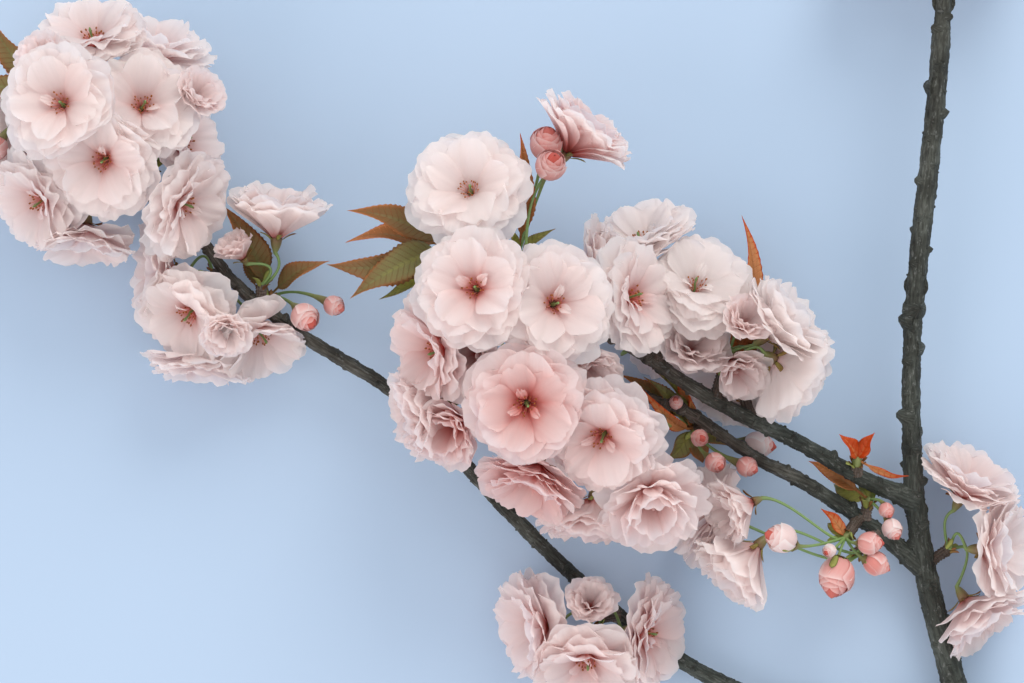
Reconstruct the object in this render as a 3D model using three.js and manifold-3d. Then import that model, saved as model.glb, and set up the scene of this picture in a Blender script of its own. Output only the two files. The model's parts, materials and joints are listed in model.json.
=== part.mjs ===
// A flowering spray cut from a double pink cherry, lying on a level table.
// Millimetres, +Z up. The table is the plane z = 0 once the spray is set down.
import * as THREE from "three";
import Module from "manifold-3d";

const wasm = await Module();
wasm.setup();
const { Manifold, Mesh } = wasm;

// Driving dimensions.
const BLOOM_DIAMETER = 50;
const BLOOM_CENTRE_DEPTH = 9; // from the foot of the petals to the eye of the bloom
const BUD_LENGTH_SHARE = 1.35; // of its diameter
const STALK_DIAMETER = 1.3;
const CALYX_LENGTH = 6;
const CALYX_DIAMETER = 5.6;
const SPUR_DIAMETER = 5.4;
const SPUR_FOOT_DIAMETER = 4.2;
const SPRIG_FOOT_LENGTH = 3;
const LEAF_THICKNESS = 0.9;
const PETAL_THICKNESS = 0.9;
const CLEARANCE = 0.3; // between one solid and the next
const SPLINTER = 0.02; // no edge is left shorter than about this
const PLAN_SQUARE = 0.4;
const EYE_HEIGHT = 1250;
const SHARP_HEIGHT = 45;
const PLAN_CENTRE = { across: 512, down: 341.5 };

// Places are read from straight above, from an eye EYE_HEIGHT over the table: across and down in
// squares of PLAN_SQUARE on the level SHARP_HEIGHT, then the real height over the table.
function place([across, down, height]) {
  const square = (PLAN_SQUARE * (EYE_HEIGHT - height)) / (EYE_HEIGHT - SHARP_HEIGHT);
  return new THREE.Vector3(
    (across - PLAN_CENTRE.across) * square,
    (PLAN_CENTRE.down - down) * square,
    height,
  );
}

// Each limb runs through its places from foot to tip, and tapers between its diameters.
const LIMBS = {
  stem: {
    path: [[978, 812, 9.5], [966, 735, 11.5], [951, 672, 14], [930, 592, 17], [915, 500, 21], [911, 400, 26],
      [914, 310, 29], [923, 220, 32], [934, 120, 34], [941, 40, 35.5], [948, -62, 38]],
    diameters: [13.5, 11.4, 10.2, 9.4, 8.4, 7.4, 7.6, 8, 7.8, 7.4, 4.6],
    sides: 9,
    rings: 13,
  },
  upper_bough: {
    path: [[916, 500, 21], [868, 481, 25], [800, 443, 33], [740, 414, 40], [690, 386, 46], [648, 358, 50],
      [606, 334, 52], [558, 315, 53], [508, 296, 54], [462, 272, 55]],
    diameters: [8.4, 6.6, 6.2, 6.2, 5.8, 4.8, 4.4, 4.2, 4, 3.8],
    sides: 7,
    rings: 10,
  },
  lower_bough: {
    path: [[922, 566, 17], [868, 524, 20], [800, 480, 26], [758, 459, 29], [718, 432, 32], [684, 410, 35],
      [648, 398, 37], [618, 394, 38]],
    diameters: [7.8, 6.2, 5.8, 5, 4.6, 4.4, 4.2, 3.8],
    sides: 7,
    rings: 8,
  },
  long_bough: {
    path: [[964, 741, 12], [850, 722, 11], [742, 692, 11], [650, 640, 12], [575, 577, 14], [500, 503, 17],
      [404, 400, 22], [300, 334, 28], [236, 284, 32], [196, 234, 35], [150, 196, 37], [124, 172, 38],
      [92, 140, 39]],
    diameters: [9, 7.6, 6.8, 6.4, 6, 5.8, 5.6, 5.2, 4.8, 4.4, 4.2, 4, 3.8],
    sides: 7,
    rings: 13,
  },
};

// Each short spur stands on a limb, and ends in a flat tip that carries stalks.
const SPURS = {
  tip_end: { on: "upper_bough", tip: [440, 262, 60] },
  tip_top: { on: "upper_bough", tip: [530, 266, 58] },
  tip_face: { on: "upper_bough", tip: [556, 330, 62] },
  tip_under: { on: "upper_bough", tip: [500, 325, 46] },
  mid_right: { on: "upper_bough", tip: [722, 374, 44] },
  mid_left: { on: "upper_bough", tip: [662, 336, 44] },
  low_end: { on: "lower_bough", tip: [592, 398, 44] },
  low_face: { on: "lower_bough", tip: [660, 420, 42] },
  low_shoot: { on: "lower_bough", tip: [860, 552, 27] },
  side: { on: "stem", tip: [950, 548, 19] },
  top_left: { on: "stem", tip: [930, -66, 42] },
  top_right: { on: "stem", tip: [972, -52, 36] },
  far_end: { on: "long_bough", tip: [74, 124, 43] },
  far_face: { on: "long_bough", tip: [130, 160, 45] },
  far_right: { on: "long_bough", tip: [152, 168, 45] },
  hang: { on: "long_bough", tip: [212, 274, 27] },
  hang_top: { on: "long_bough", tip: [262, 284, 33] },
  base: { on: "long_bough", tip: [600, 618, 22] },
  tip_leaves: { on: "upper_bough", tip: [458, 252, 48] },
  top_leaf: { on: "upper_bough", tip: [516, 262, 48] },
  shoot_buds: { on: "lower_bough", tip: [847, 535, 31] },
  fork_leaves: { on: "upper_bough", tip: [857, 463, 31] },
  fork_buds: { on: "lower_bough", tip: [868, 504, 23] },
  mid_leaves: { on: "upper_bough", tip: [745, 398, 30] },
  low_leaves: { on: "lower_bough", tip: [696, 428, 26] },
  hang_leaves: { on: "long_bough", tip: [270, 300, 24] },
  far_leaves: { on: "long_bough", tip: [66, 110, 33] },
  crown_leaves: { on: "stem", tip: [956, -86, 46] },
};

// Each bloom: its spur, the place of its eye, and the way it faces, as degrees round from +X and
// degrees up from the table.
const BLOOMS = {
  bloom_tip_1: ["tip_end", [468, 186, 80], 110, 68],
  bloom_tip_2: ["tip_end", [473, 287, 98], 150, 76],
  bloom_tip_3: ["tip_face", [556, 303, 94], 20, 80],
  bloom_tip_4: ["tip_face", [526, 406, 97], 265, 80],
  bloom_tip_5: ["tip_under", [430, 352, 76], 195, 30],
  bloom_tip_6: ["tip_under", [426, 409, 62], 195, 12],
  bloom_tip_7: ["tip_top", [581, 136, 60], 50, 10],
  bloom_tip_8: ["tip_top", [604, 268, 46], 20, 20],
  bloom_tip_9: ["tip_face", [640, 296, 66], 10, 38],
  bloom_low_1: ["low_end", [600, 440, 86], 235, 62],
  bloom_low_2: ["low_face", [652, 503, 70], 285, 50],
  bloom_low_3: ["low_end", [532, 482, 66], 250, 24],
  bloom_low_4: ["low_end", [592, 520, 46], 265, 5],
  bloom_low_5: ["low_end", [560, 430, 22], 200, -35],
  bloom_mid_1: ["mid_left", [640, 234, 38], 105, 25],
  bloom_mid_2: ["mid_left", [698, 280, 50], 70, 50],
  bloom_mid_3: ["mid_left", [650, 330, 20], 40, -20],
  bloom_mid_4: ["mid_right", [782, 322, 50], 40, 10],
  bloom_mid_5: ["mid_right", [788, 368, 42], 330, -36],
  bloom_mid_6: ["mid_right", [740, 380, 18], 285, -45],
  bloom_shoot_1: ["low_shoot", [742, 562, 40], 225, 8],
  bloom_shoot_2: ["low_shoot", [704, 510, 24], 160, 15],
  bloom_side_1: ["side", [970, 480, 24], 65, 20],
  bloom_side_2: ["side", [1002, 550, 32], 0, 25],
  bloom_side_3: ["side", [976, 618, 24], 300, 15],
  bloom_top_1: ["top_left", [884, -84, 40], 165, 35],
  bloom_top_2: ["top_left", [934, -128, 26], 100, -10],
  bloom_top_3: ["top_right", [998, -96, 34], 40, 25],
  bloom_far_1: ["far_end", [58, 102, 80], 150, 78],
  bloom_far_2: ["far_face", [100, 162, 72], 230, 70],
  bloom_far_3: ["far_face", [143, 102, 66], 60, 66],
  bloom_far_4: ["far_end", [92, 30, 52], 95, 35],
  bloom_far_5: ["far_right", [156, 44, 38], 72, 20],
  bloom_far_6: ["far_end", [34, 204, 50], 215, 40],
  bloom_far_7: ["far_face", [84, 246, 40], 265, 10],
  bloom_far_8: ["far_right", [190, 140, 44], 15, 20],
  bloom_far_9: ["far_right", [190, 208, 56], 335, 25],
  bloom_far_10: ["far_end", [16, 140, 25], 190, -20],
  bloom_hang_1: ["hang", [152, 268, 30], 175, 15],
  bloom_hang_2: ["hang", [184, 318, 42], 230, 45],
  bloom_hang_3: ["hang", [202, 368, 22], 265, 0],
  bloom_hang_4: ["hang", [264, 342, 34], 300, 30],
  bloom_hang_5: ["hang_top", [278, 216, 36], 85, 10],
  bloom_base_1: ["base", [530, 628, 30], 190, 25],
  bloom_base_2: ["base", [586, 668, 40], 265, 40],
  bloom_base_3: ["base", [654, 636, 30], 350, 25],
};

// The sprigs of leaves and buds: the spur of each, the tip of each leaf with its width and its turn
// about its own rib, and the middle of each bud with its diameter.
const SPRIGS = {
  sprig_tip: {
    spur: "tip_leaves",
    leaves: [
      { tip: [356, 206, 62], width: 13, roll: 20 },
      { tip: [336, 270, 50], width: 15, roll: -25 },
      { tip: [356, 296, 60], width: 14, roll: 15 },
      { tip: [350, 234, 46], width: 10, roll: 40 },
    ],
    buds: [],
  },
  sprig_top: {
    spur: "top_leaf",
    leaves: [{ tip: [517, 136, 50], width: 8, roll: 60 }],
    buds: [{ middle: [548, 146, 56], diameter: 7 }, { middle: [551, 164, 66], diameter: 8 }],
  },
  sprig_shoot: {
    spur: "shoot_buds",
    leaves: [{ tip: [822, 508, 33], width: 6, roll: 30 }],
    buds: [
      { middle: [748, 503, 46], diameter: 11 },
      { middle: [780, 538, 52], diameter: 11.5 },
      { middle: [836, 578, 40], diameter: 13.5 },
      { middle: [876, 562, 37], diameter: 11 },
    ],
  },
  sprig_fork: {
    spur: "fork_leaves",
    leaves: [
      { tip: [841, 439, 38], width: 5.5, roll: 35 },
      { tip: [872, 440, 38], width: 5.5, roll: -35 },
      { tip: [910, 484, 38], width: 5, roll: 0 },
    ],
    buds: [],
  },
  sprig_fork_buds: {
    spur: "fork_buds",
    leaves: [
      { tip: [806, 457, 15], width: 8, roll: 10 },
      { tip: [832, 484, 11], width: 8, roll: -10 },
    ],
    buds: [{ middle: [887, 511, 34], diameter: 6 }, { middle: [893, 530, 36], diameter: 8 }],
  },
  sprig_mid: {
    spur: "mid_leaves",
    leaves: [
      { tip: [748, 214, 24], width: 10, roll: 30 },
      { tip: [796, 288, 12], width: 11, roll: -20 },
      { tip: [726, 250, 14], width: 10, roll: 0 },
    ],
    buds: [],
  },
  sprig_low: {
    spur: "low_leaves",
    leaves: [
      { tip: [622, 372, 32], width: 9, roll: 30 },
      { tip: [668, 462, 22], width: 9, roll: -20 },
      { tip: [704, 466, 18], width: 8, roll: 0 },
    ],
    buds: [{ middle: [716, 463, 40], diameter: 8 }, { middle: [752, 466, 36], diameter: 7 }],
  },
  sprig_hang: {
    spur: "hang_leaves",
    leaves: [
      { tip: [228, 204, 40], width: 12, roll: 30 },
      { tip: [322, 258, 34], width: 9, roll: -30 },
      { tip: [244, 240, 22], width: 10, roll: 0 },
    ],
    buds: [{ middle: [306, 318, 40], diameter: 11 }, { middle: [335, 306, 34], diameter: 8 }],
  },
  sprig_far: {
    spur: "far_leaves",
    leaves: [
      { tip: [-30, 80, 44], width: 13, roll: 20 },
      { tip: [-14, 20, 34], width: 12, roll: -20 },
    ],
    buds: [{ middle: [-4, 150, 46], diameter: 9 }, { middle: [14, 66, 30], diameter: 8 }],
  },
  sprig_crown: {
    spur: "crown_leaves",
    leaves: [
      { tip: [966, -196, 46], width: 12, roll: 20 },
      { tip: [1016, -168, 30], width: 11, roll: -30 },
      { tip: [920, -176, 56], width: 10, roll: 30 },
    ],
    buds: [{ middle: [940, -120, 62], diameter: 9 }],
  },
};

// A bloom has two rings of petals, one over the other. Lengths are shares of its diameter, and a petal
// leans out from the axis of the bloom by one angle at its foot and another at its tip.
const PETALS_IN_RING = 6;
const PETAL_RINGS = [
  { length: 0.53, foot: 46, tip: 100, root: 0.8, turn: 0 },
  { length: 0.42, foot: 16, tip: 62, root: 3.4, turn: 0.5 },
];

// The rim of a petal: the gap before it, its right shoulder, its notch and its left shoulder, each as
// a share of the petal's turn and a share of its length.
const PETAL_RIM = [[0, 0.66], [0.22, 1], [0.5, 0.92], [0.78, 1]];

// Where a petal would touch something it closes by so many degrees, and keeps a share of its length.
const PETAL_RETREATS = [[0, 1], [15, 1], [30, 1], [45, 0.9], [50, 0.7], [55, 0.5], [0, 0.5], [60, 0.3]];

// How far a leaf or a bud may bow off its straight way, in the order they are tried.
const BOWS = [0.3, 0.1, 0.6, -0.2, 0.9, -0.5];

// A number from 0 to 1 that is always the same for the same count.
function chance(count) {
  const wave = Math.sin(count * 12.9898 + 4.1414) * 43758.5453;
  return wave - Math.floor(wave);
}

function solidOf(positions, triangles) {
  const mesh = (corners) => new Manifold(
    new Mesh({
      numProp: 3,
      vertProperties: new Float32Array(positions.flatMap((point) => point.toArray())),
      triVerts: new Uint32Array(corners.flat()),
    }),
  );
  const solid = mesh(triangles);
  return solid.volume() > 0 ? solid : mesh(triangles.map(([a, b, c]) => [a, c, b]));
}

function waysOut(ring) {
  const middle = ring.reduce((sum, point) => sum.add(point), new THREE.Vector3()).divideScalar(ring.length);
  return ring.map((point) => point.clone().sub(middle).normalize());
}

// The same ring, begun where its points lie most nearly on the sides where the ring before it has them.
function begunLike(before, ring) {
  const ways = waysOut(before);
  const own = waysOut(ring);
  const fits = ring.map((_, first) => {
    let fit = 0;
    for (let i = 0; i < ring.length; i++) {
      const like = (i * before.length) / ring.length;
      if (Number.isInteger(like)) fit += ways[like].dot(own[(first + i) % ring.length]);
    }
    return fit;
  });
  const first = fits.indexOf(Math.max(...fits));
  return [...ring.slice(first), ...ring.slice(0, first)];
}

// A closed skin over rings of points, from a flat first end to a flat last end, or to a point where the
// last ring is a single point. Two rings may have different counts.
function skin(given) {
  const rings = [given[0]];
  for (const ring of given.slice(1)) rings.push(begunLike(rings[rings.length - 1], ring));
  const positions = rings.flat();
  const triangles = [];
  const first = rings[0].length;
  for (let i = 1; i + 1 < first; i++) triangles.push([0, i + 1, i]);
  let start = 0;
  for (let ring = 0; ring + 1 < rings.length; ring++) {
    const below = rings[ring].length;
    const above = rings[ring + 1].length;
    const next = start + below;
    let i = 0;
    let j = 0;
    while (i < below || (j < above && above > 1)) {
      const ahead = (i + 1) / below - (j + 1) / above;
      const tieGoes = below < above || (below === above && i % 2 === 0);
      if (above === 1 || (i < below && (ahead < 0 || (ahead === 0 && tieGoes)))) {
        triangles.push([start + (i % below), start + ((i + 1) % below), next + (j % above)]);
        i++;
      } else {
        triangles.push([start + (i % below), next + ((j + 1) % above), next + (j % above)]);
        j++;
      }
    }
    start = next;
  }
  const last = rings[rings.length - 1].length;
  for (let i = 1; i + 1 < last; i++) triangles.push([start, start + i, start + i + 1]);
  return solidOf(positions, triangles);
}

// The rings of a tube through the centres. A radius of 0 gives a single point, and the first ring is
// square to startWay, or else to the tube.
function tubeRings(centres, radii, sides, startWay) {
  let across = new THREE.Vector3(0.31, 0.17, 0.93);
  return centres.map((centre, ring) => {
    const before = centres[Math.max(ring - 1, 0)];
    const after = centres[Math.min(ring + 1, centres.length - 1)];
    const along = ring === 0 && startWay ? startWay : after.clone().sub(before).normalize();
    across = across.clone().addScaledVector(along, -across.dot(along)).normalize();
    if (radii[ring] === 0) return [centre];
    const over = along.clone().cross(across);
    return Array.from({ length: sides }, (_, side) => {
      const angle = (2 * Math.PI * side) / sides;
      return centre.clone()
        .addScaledVector(across, radii[ring] * Math.cos(angle))
        .addScaledVector(over, radii[ring] * Math.sin(angle));
    });
  });
}

function tube(centres, radii, sides, startWay) {
  return skin(tubeRings(centres, radii, sides, startWay));
}

// Several solids joined into one, without the splinters that a join leaves.
function joined(solids) {
  return Manifold.union(solids).simplify(SPLINTER);
}

// A solid touches another when less than the clearance is between them.
function touches(solid, others) {
  const box = solid.boundingBox();
  const near = others.filter((other) => {
    const { min, max } = other.boundingBox();
    return [0, 1, 2].every((axis) => box.min[axis] - 1 < max[axis] && box.max[axis] + 1 > min[axis]);
  });
  return near.some((other) => solid.minGap(other, CLEARANCE) < 0.9 * CLEARANCE);
}

// The first of some shapes of a piece that keeps clear of the others.
function firstClear(name, makers, others) {
  for (const make of makers) {
    const solid = make();
    if (!touches(solid, others)) return solid;
  }
  throw new Error(name + " finds no clear way");
}

function valueAlong(values, share) {
  const spot = share * (values.length - 1);
  const first = Math.min(Math.floor(spot), values.length - 2);
  return THREE.MathUtils.lerp(values[first], values[first + 1], spot - first);
}

// Limbs

function largestPiece(solid) {
  return solid.decompose().sort((a, b) => b.volume() - a.volume())[0];
}

function makeLimb({ path, diameters, sides, rings }) {
  const curve = new THREE.CatmullRomCurve3(path.map(place), false, "centripetal");
  const shares = Array.from({ length: rings + 1 }, (_, i) => i / rings);
  return {
    curve,
    solid: tube(
      shares.map((share) => curve.getPoint(share)),
      shares.map((share) => valueAlong(diameters, share) / 2),
      sides,
    ),
  };
}

function nearestShare(curve, point) {
  let best = 0;
  const steps = 200;
  for (let i = 0; i <= steps; i++) {
    const gap = curve.getPoint(i / steps).distanceTo(point);
    if (gap < curve.getPoint(best).distanceTo(point)) best = i / steps;
  }
  return best;
}

// A spur leaves its limb a little nearer the limb's foot than its own tip, so it leans forward.
function makeSpur({ on, tip }, limbs) {
  const { curve } = limbs[on];
  const end = place(tip);
  const share = nearestShare(curve, end);
  const root = curve.getPoint(Math.max(share - 0.012, 0));
  const axis = end.clone().sub(root).normalize();
  return { on, tip: end, axis, solid: tube([root, end], [SPUR_FOOT_DIAMETER / 2, SPUR_DIAMETER / 2], 5) };
}

// Blooms

function facing(round, lift) {
  const turn = THREE.MathUtils.degToRad(round);
  const rise = THREE.MathUtils.degToRad(lift);
  return new THREE.Vector3(Math.cos(turn) * Math.cos(rise), Math.sin(turn) * Math.cos(rise), Math.sin(rise));
}

function bloomPose([spur, eye, round, lift]) {
  const axis = facing(round, lift);
  const centre = place(eye);
  const foot = centre.clone().addScaledVector(axis, -BLOOM_CENTRE_DEPTH);
  const over = Math.abs(axis.z) > 0.9 ? new THREE.Vector3(0, 1, 0) : new THREE.Vector3(0, 0, 1);
  const right = over.cross(axis).normalize();
  const up = axis.clone().cross(right);
  const middle = foot.clone().addScaledVector(axis, 0.75 * BLOOM_CENTRE_DEPTH);
  return { spur, axis, right, up, foot, middle };
}

// The flat sides that bound a bloom's own space: half way to each neighbour, and the table, on which
// the lowest petals lie.
function boundsOf(pose, poses) {
  const reach = 1.25 * BLOOM_DIAMETER;
  const margin = PETAL_THICKNESS + CLEARANCE;
  const bounds = poses
    .filter((other) => other !== pose && other.middle.distanceTo(pose.middle) < reach)
    .map((other) => {
      const away = other.middle.clone().sub(pose.middle);
      return { normal: away.clone().normalize(), limit: away.length() / 2 - margin };
    });
  bounds.push({ normal: new THREE.Vector3(0, 0, -1), limit: pose.middle.z });
  return bounds;
}

// Where a petal meets the side of its space it bends up along it, and never passes it.
function keepIn(point, pose, bounds) {
  const soft = 0.12 * BLOOM_DIAMETER;
  const kept = point.clone();
  for (let round = 0; round < 3; round++) {
    for (const { normal, limit } of bounds) {
      const past = kept.clone().sub(pose.middle).dot(normal) - limit;
      if (past <= -soft) continue;
      const held = -soft * Math.exp(-(past + soft) / soft);
      kept.addScaledVector(normal, held - past);
      if (round === 0) kept.addScaledVector(pose.axis, 0.2 * (past - held));
    }
  }
  return kept;
}

// The stalk's feet stand in a small ring on the tip of the spur, each on the side of its own bloom.
function stalkFeet(spur, poses) {
  const over = new THREE.Vector3(0, 0, 1);
  if (Math.abs(spur.axis.z) > 0.9) over.set(0, 1, 0);
  const right = over.clone().cross(spur.axis).normalize();
  const up = spur.axis.clone().cross(right);
  const angles = poses.map((pose) => {
    const way = pose.foot.clone().sub(spur.tip);
    return Math.atan2(way.dot(up), way.dot(right));
  });
  const order = angles.map((_, i) => i).sort((a, b) => angles[a] - angles[b]);
  const step = (2 * Math.PI) / poses.length;
  const offset = order.reduce((sum, who, rank) => sum + Math.sin(angles[who] - rank * step), 0);
  const along = order.reduce((sum, who, rank) => sum + Math.cos(angles[who] - rank * step), 0);
  const start = Math.atan2(offset, along);
  const ring = SPUR_DIAMETER / 2 - STALK_DIAMETER / 2;
  order.forEach((who, rank) => {
    const angle = start + rank * step;
    poses[who].stalkFoot = spur.tip.clone()
      .addScaledVector(spur.axis, CLEARANCE)
      .addScaledVector(right, ring * Math.cos(angle))
      .addScaledVector(up, ring * Math.sin(angle));
    poses[who].stalkWay = spur.axis;
  });
}

// The rings of the stalk and calyx, from the flat foot of the stalk to the widest part of the calyx.
// The swing bends the stalk to one side.
function stalkRings(pose) {
  const neck = pose.foot.clone().addScaledVector(pose.axis, -CALYX_LENGTH);
  const span = pose.stalkFoot.distanceTo(neck);
  const curve = new THREE.CubicBezierCurve3(
    pose.stalkFoot,
    pose.stalkFoot.clone().addScaledVector(pose.stalkWay, 0.4 * span).add(pose.swing),
    neck.clone().addScaledVector(pose.axis, -0.4 * span).add(pose.swing),
    neck,
  );
  const calyx = [0.55, 1.1].map((share) => neck.clone().addScaledVector(pose.axis, share * CALYX_LENGTH));
  const thin = STALK_DIAMETER / 2;
  const wide = CALYX_DIAMETER / 2;
  return tubeRings(
    [...[0, 0.5, 1].map((share) => curve.getPoint(share)), ...calyx],
    [thin, 0.85 * thin, 0.9, 0.8 * wide, wide],
    5,
    pose.stalkWay,
  );
}

// A stalk that would touch a neighbour swings to one side, and then to the other.
function clearStalk(name, pose, others) {
  const makers = [0, 4, -4, 8, -8, 12, -12, 16, -16].flatMap((amount) =>
    [pose.right, pose.up].map((way) => () => {
      pose.swing = way.clone().multiplyScalar(amount);
      return skin(stalkRings(pose));
    }),
  );
  return firstClear(name + ": its stalk", makers, others);
}

// A petal bends outwards along an arc, from its lean at the foot to its lean at the tip. The place on
// it is given by the turn round the bloom and the share of the petal's length.
function petalPoint(pose, bounds, { length, foot, tip, root }, turn, share) {
  const full = length * BLOOM_DIAMETER;
  const first = THREE.MathUtils.degToRad(foot);
  const bend = THREE.MathUtils.degToRad(tip - foot) / full;
  const lean = first + bend * share * full;
  const out = 1.6 + (Math.cos(first) - Math.cos(lean)) / bend;
  const up = root + (Math.sin(lean) - Math.sin(first)) / bend;
  const point = pose.foot.clone()
    .addScaledVector(pose.right, out * Math.cos(turn))
    .addScaledVector(pose.up, out * Math.sin(turn))
    .addScaledVector(pose.axis, up);
  return keepIn(point, pose, bounds);
}

// A place on one face of a petal, lifted off its middle square to the petal as it lies in its space.
function petalFace(point, turn, share, lift) {
  const along = point(turn, share + 0.08).sub(point(turn, share - 0.08));
  const round = point(turn + 0.1, share).sub(point(turn - 0.1, share));
  return point(turn, share).addScaledVector(along.cross(round).normalize(), lift);
}

// One ring of petals. Each petal has its own length and lean, and retreats from a limb or a stalk.
function makePetals(pose, bounds, ring, others, seed) {
  const step = (2 * Math.PI) / PETALS_IN_RING;
  return Array.from({ length: PETALS_IN_RING }, (_, i) => {
    const count = seed * 31 + 11 * ring.root + 7 * i;
    const turn = (i + ring.turn) * step + 2.4 * seed;
    const length = ring.length * (0.93 + 0.12 * chance(count));
    const tip = ring.tip - 16 * chance(count + 3);
    for (const [closed, kept] of PETAL_RETREATS) {
      const leans = { foot: ring.foot - closed / 4, tip: tip - closed };
      const shape = { length: length * kept, root: ring.root, ...leans };
      const point = (round, share) => petalPoint(pose, bounds, shape, round, share);
      const at = (way, share, lift) => petalFace(point, turn + way * step, share, lift);
      const rim = PETAL_RIM.map(([way, share]) => at(way, share, 0));
      const root = [at(0.3, 0, 0), at(0.5, 0, 1), at(0.7, 0, 0)];
      const alone = skin([root, [...rim, at(1, 0.66, 0)], [at(0.5, 0.5, 0.5)]]);
      if (!touches(alone, others)) return { rim, at };
    }
    throw new Error("a petal finds no clear way");
  });
}

// A bloom is one skin: up the stalk and calyx, out under the outer petals, back over them to the foot
// of the inner ones, and so to the eye.
function makeBloom(pose, poses, others, seed) {
  const bounds = boundsOf(pose, poses);
  const half = PETAL_THICKNESS / 2;
  const [outer, inner] = PETAL_RINGS.map((ring) => makePetals(pose, bounds, ring, others, seed));
  const between = (petals, share, lift) =>
    petals.flatMap(({ at }) => [at(0, share, lift), at(0.5, share, lift)]);
  return skin([
    ...stalkRings(pose),
    between(outer, 0.5, -half),
    outer.flatMap(({ rim }) => rim),
    between(outer, 0.5, half),
    between(inner, 0.1, -half),
    inner.flatMap(({ rim }) => rim),
    between(inner, 0.45, half),
    [pose.foot.clone().addScaledVector(pose.axis, 0.6 * BLOOM_CENTRE_DEPTH)],
  ]);
}

// Sprigs

// A leaf is folded along its rib, which bows up a little between its foot and its tip.
function leaf(foot, { tip, width, roll }, bow) {
  const span = place(tip).sub(foot);
  const along = span.clone().normalize();
  const side = along.clone().cross(new THREE.Vector3(0, 0, 1)).normalize();
  side.applyAxisAngle(along, THREE.MathUtils.degToRad(roll));
  const over = side.clone().cross(along);
  const at = (share, across, lift) => foot.clone()
    .addScaledVector(span, share)
    .addScaledVector(side, across)
    .addScaledVector(over, lift + bow * span.length() * share * (1 - share));
  const section = (share, half, thick, fold) =>
    [at(share, half, fold), at(share, 0, thick), at(share, -half, fold), at(share, 0, -thick)];
  const stalk = STALK_DIAMETER / 2;
  const thick = LEAF_THICKNESS / 2;
  return skin([
    section(0, stalk, stalk, 0),
    section(0.24, 0.8 * stalk, 0.8 * stalk, 0),
    section(0.6, width / 2, thick, 0.15 * width),
    [at(1, 0, 0)],
  ]);
}

function bud(foot, axis, { middle, diameter }, bow) {
  const centre = place(middle);
  const way = centre.clone().sub(foot);
  const length = BUD_LENGTH_SHARE * diameter;
  const share = Math.max(Math.min(0.45, 1 - (0.8 * length) / way.length()), 0.15);
  const knee = foot.clone().addScaledVector(way, share).addScaledVector(axis, bow * way.length());
  const along = centre.clone().sub(knee).normalize();
  const body = [-0.65, -0.2, 0.15, 0.5].map((spot) => centre.clone().addScaledVector(along, spot * length));
  const thin = STALK_DIAMETER / 2;
  return tube([foot, knee, ...body], [thin, thin, 1, 0.46 * diameter, 0.44 * diameter, 0], 5);
}

// A sprig is one solid on a small round foot, which stands on the tip of its spur. Each leaf and bud
// starts inside the foot, on the side that it leaves by.
function makeSprig(name, spur, leaves, buds, others) {
  const base = spur.tip.clone().addScaledVector(spur.axis, CLEARANCE);
  const top = base.clone().addScaledVector(spur.axis, SPRIG_FOOT_LENGTH);
  const foot = tube([base, top], [0.42 * SPUR_DIAMETER, 0.3 * SPUR_DIAMETER], 5, spur.axis);
  const middle = base.clone().lerp(top, 0.6);
  const root = (end) => middle.clone().addScaledVector(place(end).sub(middle).normalize(), 0.5);
  const bowed = (what, make) => firstClear(name + ": " + what, BOWS.map((bow) => () => make(bow)), others);
  return joined([
    foot,
    ...leaves.map((shape) => bowed("a leaf", (bow) => leaf(root(shape.tip), shape, bow))),
    ...buds.map((shape) => bowed("a bud", (bow) => bud(root(shape.middle), spur.axis, shape, bow))),
  ]);
}

// Assembly

const BARK = { color: 0x4f4a45, roughness: 0.9, metalness: 0 };
const LEAVES = { color: 0x6e5a38, roughness: 0.6, metalness: 0 };
const PETALS = { color: 0xf3dcdc, roughness: 0.6, metalness: 0 };

function meshOf(name, solid, finish) {
  const { numProp, vertProperties, triVerts } = solid.getMesh();
  const positions = new Float32Array((vertProperties.length / numProp) * 3);
  for (let i = 0; i * numProp < vertProperties.length; i++) {
    positions.set(vertProperties.subarray(i * numProp, i * numProp + 3), i * 3);
  }
  const geometry = new THREE.BufferGeometry();
  geometry.setAttribute("position", new THREE.BufferAttribute(positions, 3));
  geometry.setIndex(new THREE.BufferAttribute(triVerts, 1));
  geometry.computeVertexNormals();
  const mesh = new THREE.Mesh(geometry, new THREE.MeshStandardMaterial(finish));
  mesh.name = name;
  return mesh;
}

// The same list of named things, each made anew.
function remade(named, make) {
  return Object.fromEntries(Object.entries(named).map(([name, thing]) => [name, make(thing)]));
}

const limbs = remade(LIMBS, makeLimb);
const spurs = remade(SPURS, (spur) => makeSpur(spur, limbs));
const poses = remade(BLOOMS, bloomPose);
for (const [name, spur] of Object.entries(spurs)) {
  stalkFeet(spur, Object.values(poses).filter((pose) => pose.spur === name));
}

// The clearance round the stem is cut out of the boughs with a stem that is thicker by it.
const thickDiameters = LIMBS.stem.diameters.map((diameter) => diameter + 2.2 * CLEARANCE);
const thickStem = makeLimb({ ...LIMBS.stem, diameters: thickDiameters });
const wood = {};
for (const [name, limb] of Object.entries(limbs)) {
  const own = Object.values(spurs).filter((spur) => spur.on === name).map((spur) => spur.solid);
  const whole = joined([limb.solid, ...own]);
  wood[name] = name === "stem" ? whole : largestPiece(whole.subtract(thickStem.solid)).simplify(SPLINTER);
}
const sprigs = {};
for (const [name, { spur, leaves, buds }] of Object.entries(SPRIGS)) {
  const others = [...Object.values(wood), ...Object.values(sprigs)];
  sprigs[name] = makeSprig(name, spurs[spur], leaves, buds, others);
}
const stalks = {};
for (const [name, pose] of Object.entries(poses)) {
  const others = [wood, sprigs, stalks].flatMap(Object.values);
  stalks[name] = clearStalk(name, pose, others);
}
const blooms = {};
Object.entries(poses).forEach(([name, pose], rank) => {
  const { [name]: own, ...rest } = stalks;
  const others = [wood, sprigs, rest].flatMap(Object.values);
  blooms[name] = makeBloom(pose, Object.values(poses), others, rank + 1);
});

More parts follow.
